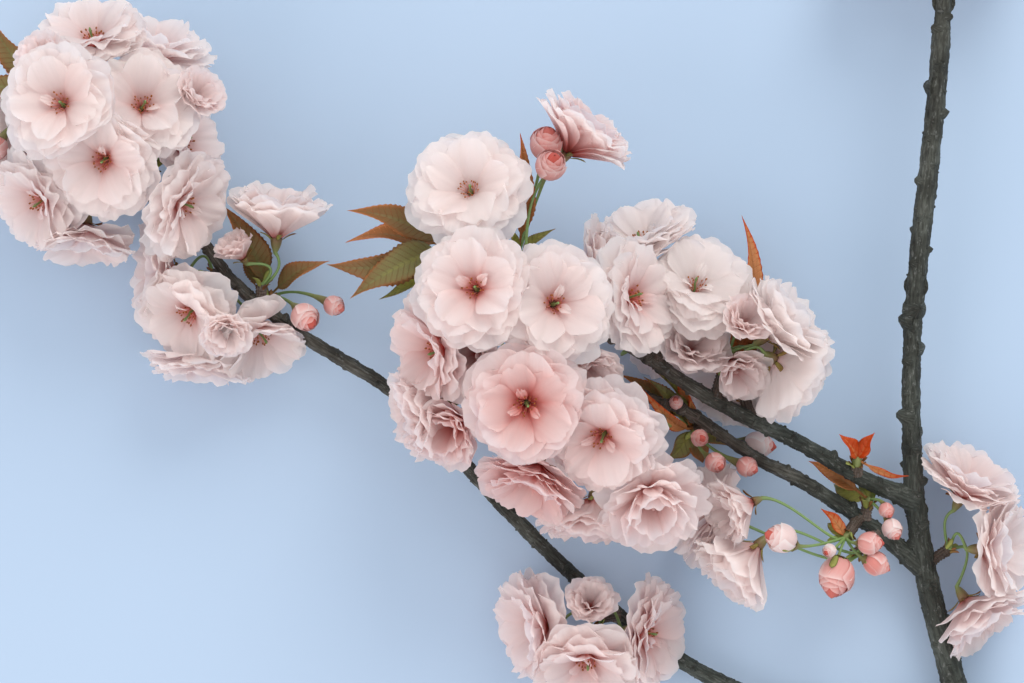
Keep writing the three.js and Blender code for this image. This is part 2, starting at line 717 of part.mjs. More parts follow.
const spray = new THREE.Group();
for (const [named, finish] of [[wood, BARK], [sprigs, LEAVES], [blooms, PETALS]]) {
  for (const [name, solid] of Object.entries(named)) spray.add(meshOf(name, solid, finish));
}
const bounds = new THREE.Box3().setFromObject(spray);
const middle = bounds.getCenter(new THREE.Vector3());
spray.position.set(-middle.x, -middle.y, -bounds.min.z);

const part = new THREE.Group();
part.add(spray);
export default part;
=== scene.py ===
import json
import math
import random

import bpy
import numpy as np
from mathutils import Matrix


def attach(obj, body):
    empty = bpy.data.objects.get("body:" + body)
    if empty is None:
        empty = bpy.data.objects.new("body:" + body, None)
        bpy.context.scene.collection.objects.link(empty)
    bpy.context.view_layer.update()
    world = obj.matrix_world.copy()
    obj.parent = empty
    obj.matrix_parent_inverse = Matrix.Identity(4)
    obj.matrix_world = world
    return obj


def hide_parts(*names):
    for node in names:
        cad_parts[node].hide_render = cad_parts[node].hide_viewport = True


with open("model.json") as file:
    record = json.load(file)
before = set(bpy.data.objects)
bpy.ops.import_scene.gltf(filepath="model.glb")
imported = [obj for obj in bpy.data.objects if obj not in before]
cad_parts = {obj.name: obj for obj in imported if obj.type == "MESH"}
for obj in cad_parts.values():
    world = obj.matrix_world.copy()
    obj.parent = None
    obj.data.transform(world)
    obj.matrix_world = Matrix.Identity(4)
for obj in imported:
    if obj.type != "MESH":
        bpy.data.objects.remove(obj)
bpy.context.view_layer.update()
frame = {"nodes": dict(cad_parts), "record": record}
print("frame loaded,", len(frame["nodes"]), "nodes")

# Places are read from straight above: across and down in squares of the level where they are sharp,
# then the real height over the table. Everything is in millimetres until a mesh is made.
metre = 1000  # millimetres
plan = {"square": 0.4, "eyeHeight": 1250, "sharpHeight": 45, "across": 512, "down": 341.5}


def place(spot):
    square = plan["square"] * (plan["eyeHeight"] - spot[2]) / (plan["eyeHeight"] - plan["sharpHeight"])
    return np.array([(spot[0] - plan["across"]) * square, (plan["down"] - spot[1]) * square, spot[2]])


def unit(way):
    return way / np.linalg.norm(way)


# Wood: each limb runs through its places from foot to tip, and tapers between its diameters.
limbs = {
    "stem": {
        "path": [[978, 812, 9.5], [966, 735, 11.5], [951, 672, 14], [930, 592, 17], [915, 500, 21],
                 [911, 400, 26], [914, 310, 29], [923, 220, 32], [934, 120, 34], [941, 40, 35.5],
                 [948, -62, 38]],
        "diameters": [13.5, 11.4, 10.2, 9.4, 8.4, 7.4, 7.6, 8, 7.8, 7.4, 4.6],
        "piece": "barkStem", "sides": 48, "youth": (0.0, 0.1), "knobEvery": 8, "knobHeight": 1.9,
    },
    "upper_bough": {
        "path": [[916, 500, 21], [868, 481, 25], [800, 443, 33], [740, 414, 40], [690, 386, 46],
                 [648, 358, 50], [606, 334, 52], [558, 315, 53], [508, 296, 54], [462, 272, 55]],
        "diameters": [8.4, 6.6, 6.2, 6.2, 5.8, 4.8, 4.4, 4.2, 4, 3.8],
        "piece": "barkUpperBough", "sides": 28, "youth": (0.0, 0.8), "knobEvery": 7.5, "knobHeight": 1.2,
    },
    "lower_bough": {
        "path": [[922, 566, 17], [868, 524, 20], [800, 480, 26], [758, 459, 29], [718, 432, 32],
                 [684, 410, 35], [648, 398, 37], [618, 394, 38]],
        "diameters": [7.8, 6.2, 5.8, 5, 4.6, 4.4, 4.2, 3.8],
        "piece": "barkLowerBough", "sides": 28, "youth": (0.0, 0.75), "knobEvery": 7, "knobHeight": 1.2,
    },
    "long_bough": {
        "path": [[964, 741, 12], [850, 722, 11], [742, 692, 11], [650, 640, 12], [575, 577, 14],
                 [500, 503, 17], [404, 400, 22], [300, 334, 28], [236, 284, 32], [196, 234, 35],
                 [150, 196, 37], [124, 172, 38], [92, 140, 39]],
        "diameters": [9, 7.6, 6.8, 6.4, 6, 5.8, 5.6, 5.2, 4.8, 4.4, 4.2, 4, 3.8],
        "piece": "barkLongBough", "sides": 28, "youth": (0.0, 0.35), "knobEvery": 9, "knobHeight": 1.2,
    },
}

# Each short spur stands on a limb, and ends in a tip that carries stalks.
spurs = {
    "tip_end": ["upper_bough", [440, 262, 60]],
    "tip_top": ["upper_bough", [530, 266, 58]],
    "tip_face": ["upper_bough", [556, 330, 62]],
    "tip_under": ["upper_bough", [500, 325, 46]],
    "mid_right": ["upper_bough", [722, 374, 44]],
    "mid_left": ["upper_bough", [662, 336, 44]],
    "low_end": ["lower_bough", [592, 398, 44]],
    "low_face": ["lower_bough", [660, 420, 42]],
    "low_shoot": ["lower_bough", [860, 552, 27]],
    "side": ["stem", [950, 548, 19]],
    "top_left": ["stem", [930, -66, 42]],
    "top_right": ["stem", [972, -52, 36]],
    "far_end": ["long_bough", [74, 124, 43]],
    "far_face": ["long_bough", [130, 160, 45]],
    "far_right": ["long_bough", [152, 168, 45]],
    "hang": ["long_bough", [212, 274, 27]],
    "hang_top": ["long_bough", [262, 284, 33]],
    "base": ["long_bough", [600, 618, 22]],
    "tip_leaves": ["upper_bough", [458, 252, 48]],
    "top_leaf": ["upper_bough", [516, 262, 48]],
    "shoot_buds": ["lower_bough", [847, 535, 31]],
    "fork_leaves": ["upper_bough", [857, 463, 31]],
    "fork_buds": ["lower_bough", [868, 504, 23]],
    "mid_leaves": ["upper_bough", [745, 398, 30]],
    "low_leaves": ["lower_bough", [696, 428, 26]],
    "hang_leaves": ["long_bough", [270, 300, 24]],
    "far_leaves": ["long_bough", [66, 110, 33]],
    "crown_leaves": ["stem", [956, -86, 46]],
}

# Each bloom: its spur, the place of its eye, and the way it faces, as degrees round from +X and
# degrees up from the table.
blooms = {
    "bloom_tip_1": ["tip_end", [468, 186, 80], 110, 68],
    "bloom_tip_2": ["tip_end", [473, 287, 98], 150, 76],
    "bloom_tip_3": ["tip_face", [556, 303, 94], 20, 80],
    "bloom_tip_4": ["tip_face", [526, 406, 97], 265, 80],
    "bloom_tip_5": ["tip_under", [430, 352, 76], 195, 30],
    "bloom_tip_6": ["tip_under", [426, 409, 62], 195, 12],
    "bloom_tip_7": ["tip_top", [581, 136, 60], 50, 10],
    "bloom_tip_8": ["tip_top", [604, 268, 46], 20, 20],
    "bloom_tip_9": ["tip_face", [640, 296, 66], 10, 38],
    "bloom_low_1": ["low_end", [600, 440, 86], 235, 62],
    "bloom_low_2": ["low_face", [652, 503, 70], 285, 50],
    "bloom_low_3": ["low_end", [532, 482, 66], 250, 24],
    "bloom_low_4": ["low_end", [592, 520, 46], 265, 5],
    "bloom_low_5": ["low_end", [560, 430, 22], 200, -35],
    "bloom_mid_1": ["mid_left", [640, 234, 38], 105, 25],
    "bloom_mid_2": ["mid_left", [698, 280, 50], 70, 50],
    "bloom_mid_3": ["mid_left", [650, 330, 20], 40, -20],
    "bloom_mid_4": ["mid_right", [782, 322, 50], 40, 10],
    "bloom_mid_5": ["mid_right", [788, 368, 42], 330, -36],
    "bloom_mid_6": ["mid_right", [740, 380, 18], 285, -45],
    "bloom_shoot_1": ["low_shoot", [742, 562, 40], 225, 8],
    "bloom_shoot_2": ["low_shoot", [704, 510, 24], 160, 15],
    "bloom_side_1": ["side", [970, 480, 24], 65, 20],
    "bloom_side_2": ["side", [1002, 550, 32], 0, 25],
    "bloom_side_3": ["side", [976, 618, 24], 300, 15],
    "bloom_top_1": ["top_left", [884, -84, 40], 165, 35],
    "bloom_top_2": ["top_left", [934, -128, 26], 100, -10],
    "bloom_top_3": ["top_right", [998, -96, 34], 40, 25],
    "bloom_far_1": ["far_end", [58, 102, 80], 150, 78],
    "bloom_far_2": ["far_face", [100, 162, 72], 230, 70],
    "bloom_far_3": ["far_face", [143, 102, 66], 60, 66],
    "bloom_far_4": ["far_end", [92, 30, 52], 95, 35],
    "bloom_far_5": ["far_right", [156, 44, 38], 72, 20],
    "bloom_far_6": ["far_end", [34, 204, 50], 215, 40],
    "bloom_far_7": ["far_face", [84, 246, 40], 265, 10],
    "bloom_far_8": ["far_right", [190, 140, 44], 15, 20],
    "bloom_far_9": ["far_right", [190, 208, 56], 335, 25],
    "bloom_far_10": ["far_end", [16, 140, 25], 190, -20],
    "bloom_hang_1": ["hang", [152, 268, 30], 175, 15],
    "bloom_hang_2": ["hang", [184, 318, 42], 230, 45],
    "bloom_hang_3": ["hang", [202, 368, 22], 265, 0],
    "bloom_hang_4": ["hang", [264, 342, 34], 300, 30],
    "bloom_hang_5": ["hang_top", [278, 216, 36], 85, 10],
    "bloom_base_1": ["base", [530, 628, 30], 190, 25],
    "bloom_base_2": ["base", [586, 668, 40], 265, 40],
    "bloom_base_3": ["base", [654, 636, 30], 350, 25],
}

# The sprigs: the spur of each, its leaves and its buds. A leaf is the place of its tip, its width, its turn
# about its own rib and how bronze it is. A bud is the place of its middle, its diameter and how coral it is.
sprigs = {
    "sprig_tip": [
        "tip_leaves",
        [[[352, 206, 62], 13, 25, 0.38], [[328, 272, 50], 15, -25, 0.33], [[350, 298, 60], 15, 15, 0.25],
         [[346, 230, 46], 10, 40, 0.6], [[378, 298, 50], 7, 30, 0.0]], []],
    "sprig_top": [
        "top_leaf",
        [[[523, 134, 60], 8.5, 25, 0.6], [[507, 222, 56], 4, 30, 0.0], [[553, 228, 60], 4.5, -30, 0.0]],
        [[[546, 142, 66], 12.5, 1.1], [[551, 164, 76], 12, 1.0]]],
    "sprig_shoot": [
        "shoot_buds",
        [[[822, 508, 33], 6, 30, 0.85], [[826, 522, 26], 4, 0, 0.0]],
        [[[780, 538, 52], 11.5, 0.1], [[836, 578, 40], 14.5, 1.0], [[877, 564, 37], 9.5, 1.1],
         [[871, 543, 40], 9, 1.1], [[829, 551, 46], 5.5, 0.0]]],
    "sprig_fork": [
        "fork_leaves",
        [[[840, 434, 38], 7, 35, 1.0], [[872, 433, 38], 7, -35, 1.0], [[908, 479, 34], 3.5, 35, 0.9]], []],
    "sprig_fork_buds": [
        "fork_buds",
        [[[808, 458, 15], 7, 10, 0.65], [[830, 484, 11], 7, -10, 0.1], [[858, 478, 17], 5, 20, 0.05]],
        [[[887, 511, 34], 6, 1.1], [[893, 530, 36], 8, 0.3]]],
    "sprig_mid": [
        "mid_leaves",
        [[[748, 214, 24], 10, 30, 0.75], [[796, 288, 12], 11, -20, 0.7], [[726, 250, 14], 10, 0, 0.6]], []],
    "sprig_low": [
        "low_leaves",
        [[[622, 372, 32], 9, 30, 0.4], [[668, 462, 22], 9, -20, 0.2], [[704, 466, 18], 8, 0, 0.4],
         [[652, 378, 42], 7, 25, 0.1], [[676, 384, 40], 6, -30, 0.8], [[728, 446, 30], 6, 20, 0.3],
         [[642, 392, 44], 6, -20, 0.75], [[664, 372, 36], 6, 40, 0.05], [[690, 396, 38], 5, 10, 0.7]],
        [[[716, 463, 40], 8, 1.1], [[748, 467, 36], 8, 1.2], [[676, 402, 41], 5.5, 0.9],
         [[700, 438, 44], 7, 1.1], [[760, 445, 19], 11, 0.05]]],
    "sprig_hang": [
        "hang_leaves",
        [[[228, 204, 40], 12, 30, 0.4], [[322, 258, 34], 9, -30, 0.45], [[244, 240, 22], 10, 0, 0.3]],
        [[[306, 318, 40], 11, 0.9], [[335, 306, 34], 8, 0.9]]],
    "sprig_far": [
        "far_leaves",
        [[[-30, 80, 44], 13, 20, 0.3], [[-14, 20, 34], 12, -20, 0.35]],
        [[[-4, 150, 46], 9, 1.0], [[14, 66, 30], 8, 0.8]]],
    "sprig_crown": [
        "crown_leaves",
        [[[966, -196, 46], 12, 20, 0.55], [[1016, -168, 30], 11, -30, 0.45], [[920, -176, 56], 10, 30, 0.6]],
        [[[940, -120, 62], 9, 0.8]]],
}

# The frame's origin is under the middle of the branch, so its cut end says where the plan lies in it.
cutEnd = np.array(frame["record"]["mounts"][0]["pos_m"]) * metre
shift = cutEnd - place(limbs["stem"]["path"][0])


# Lines: how a limb, a spur or a stalk runs.
def limbPoint(path, share):
    spot = (len(path) - 1) * share
    first = min(int(spot), len(path) - 2)
    weight = spot - first
    here, there = path[first], path[first + 1]
    before = path[first - 1] if first > 0 else 2 * here - there
    after = path[first + 2] if first + 2 < len(path) else 2 * there - here
    step0, step1, step2 = (
        math.sqrt(np.linalg.norm(b - a)) for a, b in ((before, here), (here, there), (there, after)))
    way1 = ((here - before) / step0 - (there - before) / (step0 + step1) + (there - here) / step1) * step1
    way2 = ((there - here) / step1 - (after - here) / (step1 + step2) + (after - there) / step2) * step1
    bend2 = 3 * (there - here) - 2 * way1 - way2
    bend3 = 2 * (here - there) + way1 + way2
    return here + weight * (way1 + weight * (bend2 + weight * bend3))


def bezier(corners, count):
    share = np.linspace(0, 1, count)[:, None]
    a, b, c, d = corners
    back = 1 - share
    return back ** 3 * a + 3 * back ** 2 * share * b + 3 * back * share ** 2 * c + share ** 3 * d


# The same line with its points a step apart, and what runs along it.
def evenly(points, values, step):
    run = np.concatenate([[0], np.cumsum(np.linalg.norm(np.diff(points, axis=0), axis=1))])
    spots = np.linspace(0, run[-1], max(int(run[-1] / step), 2) + 1)
    even = np.stack([np.interp(spots, run, points[:, axis]) for axis in range(3)], axis=1)
    return even, np.interp(spots, run, values), spots


def limbLine(limb):
    path = [place(spot) for spot in limb["path"]]
    shares = np.linspace(0, 1, 401)
    points = np.array([limbPoint(path, share) for share in shares])
    knots = np.linspace(0, 1, len(limb["diameters"]))
    return points, np.interp(shares, knots, limb["diameters"]) / 2


# The two sides of a way, the way out at an angle round it, and whole rings of points round it.
def sidesOf(way):
    over = np.array([0.0, 1, 0]) if abs(way[2]) > 0.9 else np.array([0.0, 0, 1])
    right = unit(np.cross(over, way))
    return right, np.cross(way, right)


def outAt(angle, right, up):
    return math.cos(angle) * right + math.sin(angle) * up


def ringsOf(radius, angle, right, up):
    return (radius * np.cos(angle))[..., None] * right + (radius * np.sin(angle))[..., None] * up


limbLines = {name: limbLine(limb) for name, limb in limbs.items()}
spurPlaces = {}
for name, (limb, tip) in spurs.items():
    points, radii = limbLines[limb]
    end = place(tip)
    nearest = int(np.argmin(np.linalg.norm(points - end, axis=1)))
    root = points[max(nearest - 5, 0)]
    spurPlaces[name] = {
        "limb": limb, "root": root, "tip": end, "axis": unit(end - root), "reach": radii[nearest]}

# What a petal, a stalk or a leaf keeps clear of: balls along every limb and spur, and later the rest.
spurRadius = 2.6
wayPoints, wayRadii = [], []


def keepClearOf(points, radius):
    wayPoints.append(points)
    wayRadii.append(np.broadcast_to(radius, len(points)))


for points, radii in limbLines.values():
    keepClearOf(*evenly(points, radii, 1.5)[:2])
for spur in spurPlaces.values():
    keepClearOf(np.linspace(spur["root"], spur["tip"], 8), spurRadius)


def near(middle, reach, skip=()):
    picked = [index for index in range(len(wayPoints)) if index not in skip]
    points = np.concatenate([wayPoints[index] for index in picked])
    radii = np.concatenate([wayRadii[index] for index in picked])
    close = np.linalg.norm(points - middle, axis=1) < reach + radii
    return points[close], radii[close]


def roomBetween(points, others):
    if len(others[0]) == 0:
        return math.inf
    gaps = np.linalg.norm(points.reshape(-1, 1, 3) - others[0][None], axis=2) - others[1]
    return gaps.min()


# Which of some shapes is the first that keeps clear, or else the one with the most room.
def firstClear(shapes, others, room):
    best, most = 0, -math.inf
    for rank, shape in enumerate(shapes):
        left = roomBetween(shape, others)
        if left > room:
            return rank
        if left > most:
            best, most = rank, left
    return best


# Nodes and meshes
def colour(hexCode):
    channels = [int(hexCode[i:i + 2], 16) / 255 for i in (1, 3, 5)]
    linear = [c / 12.92 if c <= 0.04045 else ((c + 0.055) / 1.055) ** 2.4 for c in channels]
    return (*linear, 1)


# An input takes a value, an output, a node for its first output, or a list of nodes that are joined.
# The stops are the colours of a ramp.
def addNode(tree, kind, inputs=(), stops=(), **settings):
    node = tree.nodes.new(kind)
    for name, value in settings.items():
        setattr(node, name, value)
    for name, value in dict(inputs).items():
        for source in value if isinstance(value, list) else [value]:
            if isinstance(source, bpy.types.Node):
                source = source.outputs[0]
            if isinstance(source, bpy.types.NodeSocket):
                tree.links.new(source, node.inputs[name])
            else:
                node.inputs[name].default_value = source
    for rank, (spot, hexCode) in enumerate(stops):
        elements = node.color_ramp.elements
        element = elements[rank] if rank < 2 else elements.new(spot)
        element.position, element.color = spot, colour(hexCode)
    return node


def makeObject(name, points, edges, faces, values, material=None):
    mesh = bpy.data.meshes.new(name)
    mesh.from_pydata((points + shift) / metre, edges, faces)
    for label, value in values.items():
        kind, key = ("FLOAT_VECTOR", "vector") if value.ndim == 2 else ("FLOAT", "value")
        mesh.attributes.new(label, kind, "POINT").data.foreach_set(key, value.astype(np.float32).ravel())
    if material:
        mesh.materials.append(material)
    mesh.shade_smooth()
    piece = bpy.data.objects.new(name, mesh)
    bpy.context.scene.collection.objects.link(piece)
    return piece


# Several grids of points as one mesh. A grid with a thickness is closed by a second face.
def makeGrids(name, grids, material):
    points, faces, values = [], [], {}
    count = 0
    for grid in grids:
        rows, columns = grid["points"].shape[:2]
        index = np.arange(rows * columns).reshape(rows, columns)
        corners = [index[:-1, :-1], index[1:, :-1], index[1:, 1:], index[:-1, 1:]]
        front = np.stack(corners, axis=-1).reshape(-1, 4)
        flat = grid["points"].reshape(-1, 3)
        layers = {label: value.reshape(rows * columns, -1) for label, value in grid["values"].items()}
        if grid.get("thickness"):
            normal = np.cross(np.gradient(grid["points"], axis=0), np.gradient(grid["points"], axis=1))
            normal /= np.linalg.norm(normal, axis=2, keepdims=True) + 1e-9
            inner = np.zeros((rows, columns), bool)
            inner[1:-1, 1:-1] = True
            inner = inner.ravel()
            back = np.where(inner, rows * columns + np.cumsum(inner) - 1, index.ravel())
            lift = grid["thickness"] / 2 * normal.reshape(-1, 3) * inner[:, None]
            flat = np.concatenate([flat + lift, (flat - lift)[inner]])
            layers = {label: np.concatenate([value, value[inner]]) for label, value in layers.items()}
            front = np.concatenate([front, back[front][:, ::-1]])
        points.append(flat)
        faces.append(front + count)
        count += len(flat)
        for label, value in layers.items():
            values.setdefault(label, []).append(value)
    joined = {label: np.concatenate(value).squeeze() for label, value in values.items()}
    return makeObject(name, np.concatenate(points), [], np.concatenate(faces).tolist(), joined, material)


# Lines as a mesh of edges, for a tree of nodes to turn into tubes.
def makeLines(name, lines):
    points, edges, values = [], [], {}
    count = 0
    for line in lines:
        size = len(line["points"])
        points.append(line["points"])
        edges += [(count + i, count + i + 1) for i in range(size - 1)]
        count += size
        for label, value in line["values"].items():
            values.setdefault(label, []).append(np.broadcast_to(value, (size, *np.shape(value)[1:])))
    joined = {label: np.concatenate(value) for label, value in values.items()}
    return makeObject(name, np.concatenate(points), edges, [], joined)


# A tree starts with an input for each value in its dictionary, and ends in smooth real faces in their skins.
def startTree(name, values):
    tree = bpy.data.node_groups.new(name, "GeometryNodeTree")
    tree.interface.new_socket("Geometry", in_out="INPUT", socket_type="NodeSocketGeometry")
    kinds = {int: "Int", float: "Float", tuple: "Vector", bpy.types.Material: "Material"}
    for label, value in values.items():
        kind = "NodeSocket" + kinds[type(value)]
        tree.interface.new_socket(label, in_out="INPUT", socket_type=kind).default_value = value
    tree.interface.new_socket("Geometry", in_out="OUTPUT", socket_type="NodeSocketGeometry")
    return tree, tree.nodes.new("NodeGroupInput").outputs


def finishTree(tree, shape, *skins):
    smooth = addNode(tree, "GeometryNodeSetShadeSmooth", {0: shape})
    last = addNode(tree, "GeometryNodeRealizeInstances", {0: smooth})
    for skin in skins:
        last = addNode(tree, "GeometryNodeSetMaterial", {"Geometry": last, **skin})
    addNode(tree, "NodeGroupOutput", {0: last})
    return tree


# A closed tube along the given lines, as thick as they say.
def tubeOn(tree, given, ring):
    curve = addNode(tree, "GeometryNodeMeshToCurve", {"Mesh": given["Geometry"]})
    thick = addNode(tree, "GeometryNodeInputNamedAttribute", {"Name": "thick"}, data_type="FLOAT")
    return addNode(tree, "GeometryNodeCurveToMesh", {
        "Curve": curve, "Profile Curve": ring, "Scale": thick, "Fill Caps": True})


# The tree's result becomes the piece's own plain mesh.
def growWith(piece, tree, values):
    modifier = piece.modifiers.new(tree.name, "NODES")
    modifier.node_group = tree
    for label, value in values.items():
        modifier[tree.interface.items_tree[label].identifier] = value
    depsgraph = bpy.context.evaluated_depsgraph_get()
    grown = bpy.data.meshes.new_from_object(
        piece.evaluated_get(depsgraph), preserve_all_data_layers=True, depsgraph=depsgraph)
    piece.modifiers.clear()
    piece.data = grown
    return piece


def handOver(piece, nodes=()):
    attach(piece, "root")
    if nodes:
        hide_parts(*nodes)


# Materials
def startMaterial(name):
    material = bpy.data.materials.new(name)
    material.use_nodes = True
    material.node_tree.nodes.clear()
    return material, material.node_tree


# Living skin: "tone" deals out its colours, and veins or fibres follow the piece, so wide and so long in
# millimetres. A look may let light through, and may have side ribs so many millimetres apart.
def skinMaterial(name, look):
    material, tree = startMaterial(name)
    spot = addNode(tree, "ShaderNodeAttribute", attribute_name="spot").outputs["Vector"]
    tone = addNode(tree, "ShaderNodeAttribute", attribute_name="tone").outputs["Fac"]
    finer = (1 / look["vein"][0], 1 / look["vein"][1], 1)
    scaled = addNode(tree, "ShaderNodeVectorMath", {0: spot, 1: finer}, operation="MULTIPLY")
    detail, broken = look.get("noise", (4.0, 0.6))
    veins = addNode(tree, "ShaderNodeTexNoise", {
        "Vector": scaled, "Scale": 1.0, "Detail": detail, "Roughness": broken})
    tinted = addNode(tree, "ShaderNodeMath", {0: veins, 1: look["tint"], 2: tone}, operation="MULTIPLY_ADD")
    dealt = addNode(tree, "ShaderNodeMath", {0: tinted, 1: look["tint"] / 2}, operation="SUBTRACT")
    height = veins
    if "ribs" in look:
        run = addNode(tree, "ShaderNodeSeparateXYZ", {0: spot}).outputs["Y"]
        often = 2 * math.pi / look["ribs"]
        turned = addNode(tree, "ShaderNodeMath", {0: run, 1: often}, operation="MULTIPLY")
        wave = addNode(tree, "ShaderNodeMath", {0: turned}, operation="SINE")
        rib = addNode(tree, "ShaderNodeMapRange", {"Value": wave, "From Min": 0.72})
        dealt = addNode(tree, "ShaderNodeMath", {0: rib, 1: 0.08, 2: dealt}, operation="MULTIPLY_ADD")
        height = addNode(tree, "ShaderNodeMath", {0: rib, 1: -1.2, 2: height}, operation="MULTIPLY_ADD")
    tones = addNode(tree, "ShaderNodeValToRGB", {"Fac": dealt}, look["stops"])
    bump = addNode(tree, "ShaderNodeBump", {
        "Height": height, "Distance": look["height"] / metre, "Strength": look.get("strength", 0.8)})
    last = addNode(tree, "ShaderNodeBsdfPrincipled", {
        "IOR": 1.42, "Specular IOR Level": 0.45, **look["surface"], "Base Color": tones, "Normal": bump})
    if "through" in look:
        light = tones
        if "throughTint" in look:
            light = addNode(tree, "ShaderNodeMix", {0: 1.0, 6: tones, 7: colour(look["throughTint"])},
                            data_type="RGBA", blend_type="MULTIPLY").outputs[2]
        through = addNode(tree, "ShaderNodeBsdfTranslucent", {"Color": light, "Normal": bump})
        last = addNode(tree, "ShaderNodeMixShader", {0: look["through"], 1: last, 2: through})
    addNode(tree, "ShaderNodeOutputMaterial", {"Surface": last})
    return material


# Living petal: thin, moist and matt, so light comes through it and its rim looks paler than its root.
petalLook = {
    "stops": [(0.0, "#FDFBFA"), (0.2, "#FBF2F1"), (0.45, "#F7DEDB"), (0.75, "#EFA69E"), (1.0, "#D4594C")],
    "vein": (0.9, 13), "noise": (3.0, 0.55), "tint": 0.1, "height": 0.22, "strength": 0.6,
    "surface": {"Roughness": 0.58, "IOR": 1.4, "Specular IOR Level": 0.35, "Sheen Weight": 0.12,
                "Sheen Roughness": 0.5},
    "through": 0.6, "throughTint": "#FEF7F6",
}
petalSkin = skinMaterial("livingCherryPetal", petalLook)

# Petals wrapped in a bud: the same, but several lie over each other, so less light comes through.
budSkin = skinMaterial("closedCherryPetal", {**petalLook, "through": 0.3})

# Young leaf: tender and smooth with a soft shine, green to bronze, and more orange at its rim and tip.
leafSkin = skinMaterial("youngBronzeLeaf", {
    "stops": [(0.0, "#B7B861"), (0.28, "#999460"), (0.5, "#A27C50"), (0.7, "#C07E4B"), (0.85, "#E0A068"),
              (1.0, "#DB5C24")],
    "vein": (0.6, 3), "tint": 0.2, "height": 0.2, "surface": {"Roughness": 0.42}, "through": 0.45,
    "ribs": 2.6,
})

# Green stalk and calyx: firm and sappy, with a dull shine, browner towards the bloom.
stalkSkin = skinMaterial("greenStalk", {
    "stops": [(0.0, "#7F9E5E"), (0.5, "#7E9C62"), (0.8, "#7D8250"), (1.0, "#7C5A44")],
    "vein": (0.4, 6), "tint": 0.15, "height": 0.08, "surface": {"Roughness": 0.45},
})

# Bud scale and sepal: dry thin skin, dull, from yellow-green to red-brown.
scaleSkin = skinMaterial("budScaleSkin", {
    "stops": [(0.0, "#A9B662"), (0.35, "#8C8F4A"), (0.6, "#8A6236"), (1.0, "#6A412B")],
    "vein": (0.4, 3), "tint": 0.25, "height": 0.12, "surface": {"Roughness": 0.6},
})

# Filament of a stamen: a soft pale pink thread.
filamentSkin = skinMaterial("stamenFilament", {
    "stops": [(0.0, "#E07468"), (0.6, "#EFA79C"), (1.0, "#F6D5CD")],
    "vein": (0.3, 3), "tint": 0.1, "height": 0.03, "surface": {"Roughness": 0.5},
})

# Anther with its pollen: dusty and quite matt, mottled from brown to gold.
antherSkin = skinMaterial("pollenAnther", {
    "stops": [(0.0, "#7A3F22"), (0.5, "#A6652E"), (1.0, "#D09A4A")],
    "vein": (0.4, 0.4), "tint": 0.5, "height": 0.1, "surface": {"Roughness": 0.8},
})

# Cherry bark: dry and dull, dark grey with paler crusts, and a lighter warm grey where the wood is young,
# whose palest pinkish patches are a painted highlight.
barkLook = {
    "patch": 14, "fibre": (0.9, 0.9, 6), "crust": (1.5, 1.5, 3.4), "grain": 0.5, "grainHeight": 0.4,
    "old": [(0.34, "#222421"), (0.5, "#3A3F3A"), (0.66, "#59605A")],
    # Young wood: its warm grey-brown is its own colour, and its palest pinkish stop is a painted highlight.
    "young": [(0.34, "#3F3530"), (0.5, "#66564C"), (0.6, "#8F8077"), (0.7, "#C4B5AE")],
    "crustColour": "#7F8380",
}


def barkMaterial(name, look):
    material, tree = startMaterial(name)
    position = addNode(tree, "ShaderNodeTexCoord").outputs["Object"]
    youth = addNode(tree, "ShaderNodeAttribute", attribute_name="youth").outputs["Fac"]
    spot = addNode(tree, "ShaderNodeAttribute", attribute_name="spot").outputs["Vector"]
    drawnOut, flecked = (addNode(tree, "ShaderNodeVectorMath", {0: spot, 1: look[size]}, operation="DIVIDE")
                         for size in ("fibre", "crust"))
    patches, fibres, crust, grain = (
        addNode(tree, "ShaderNodeTexNoise", {
            "Vector": where, "Scale": scale, "Detail": detail, "Roughness": broken})
        for where, scale, detail, broken in (
            (position, metre / look["patch"], 3.0, 0.5), (drawnOut, 1.0, 3.0, 0.6), (flecked, 1.0, 6.0, 0.7),
            (position, metre / look["grain"], 4.0, 0.5)))
    dealt = addNode(tree, "ShaderNodeMix", {0: 0.55, 2: patches, 3: fibres}, data_type="FLOAT")
    # The young ramp holds the painted highlight in its palest pinkish patches, and youth mixes it in.
    old, young = (addNode(tree, "ShaderNodeValToRGB", {"Fac": dealt}, look[age]) for age in ("old", "young"))
    wood = addNode(tree, "ShaderNodeMix", {0: youth, 6: old, 7: young}, data_type="RGBA").outputs[2]
    pale = addNode(tree, "ShaderNodeMapRange", {"Value": crust, "From Min": 0.56, "From Max": 0.74})
    crusted = addNode(tree, "ShaderNodeMix", {0: pale, 6: wood, 7: colour(look["crustColour"])},
                      data_type="RGBA").outputs[2]
    rough = addNode(tree, "ShaderNodeMapRange", {"Value": crust, "To Min": 0.5, "To Max": 0.85})
    height = addNode(tree, "ShaderNodeMath", {0: crust, 1: 0.6, 2: grain}, operation="MULTIPLY_ADD")
    ridged = addNode(tree, "ShaderNodeMath", {0: fibres, 1: 2.0, 2: height}, operation="MULTIPLY_ADD")
    bump = addNode(tree, "ShaderNodeBump", {
        "Height": ridged, "Distance": look["grainHeight"] / metre, "Strength": 0.9})
    surface = addNode(tree, "ShaderNodeBsdfPrincipled", {
        "Base Color": crusted, "Roughness": rough, "IOR": 1.45, "Specular IOR Level": 0.3, "Normal": bump})
    addNode(tree, "ShaderNodeOutputMaterial", {"Surface": surface})
    return material


bark = barkMaterial("cherryBark", barkLook)
print("materials made")


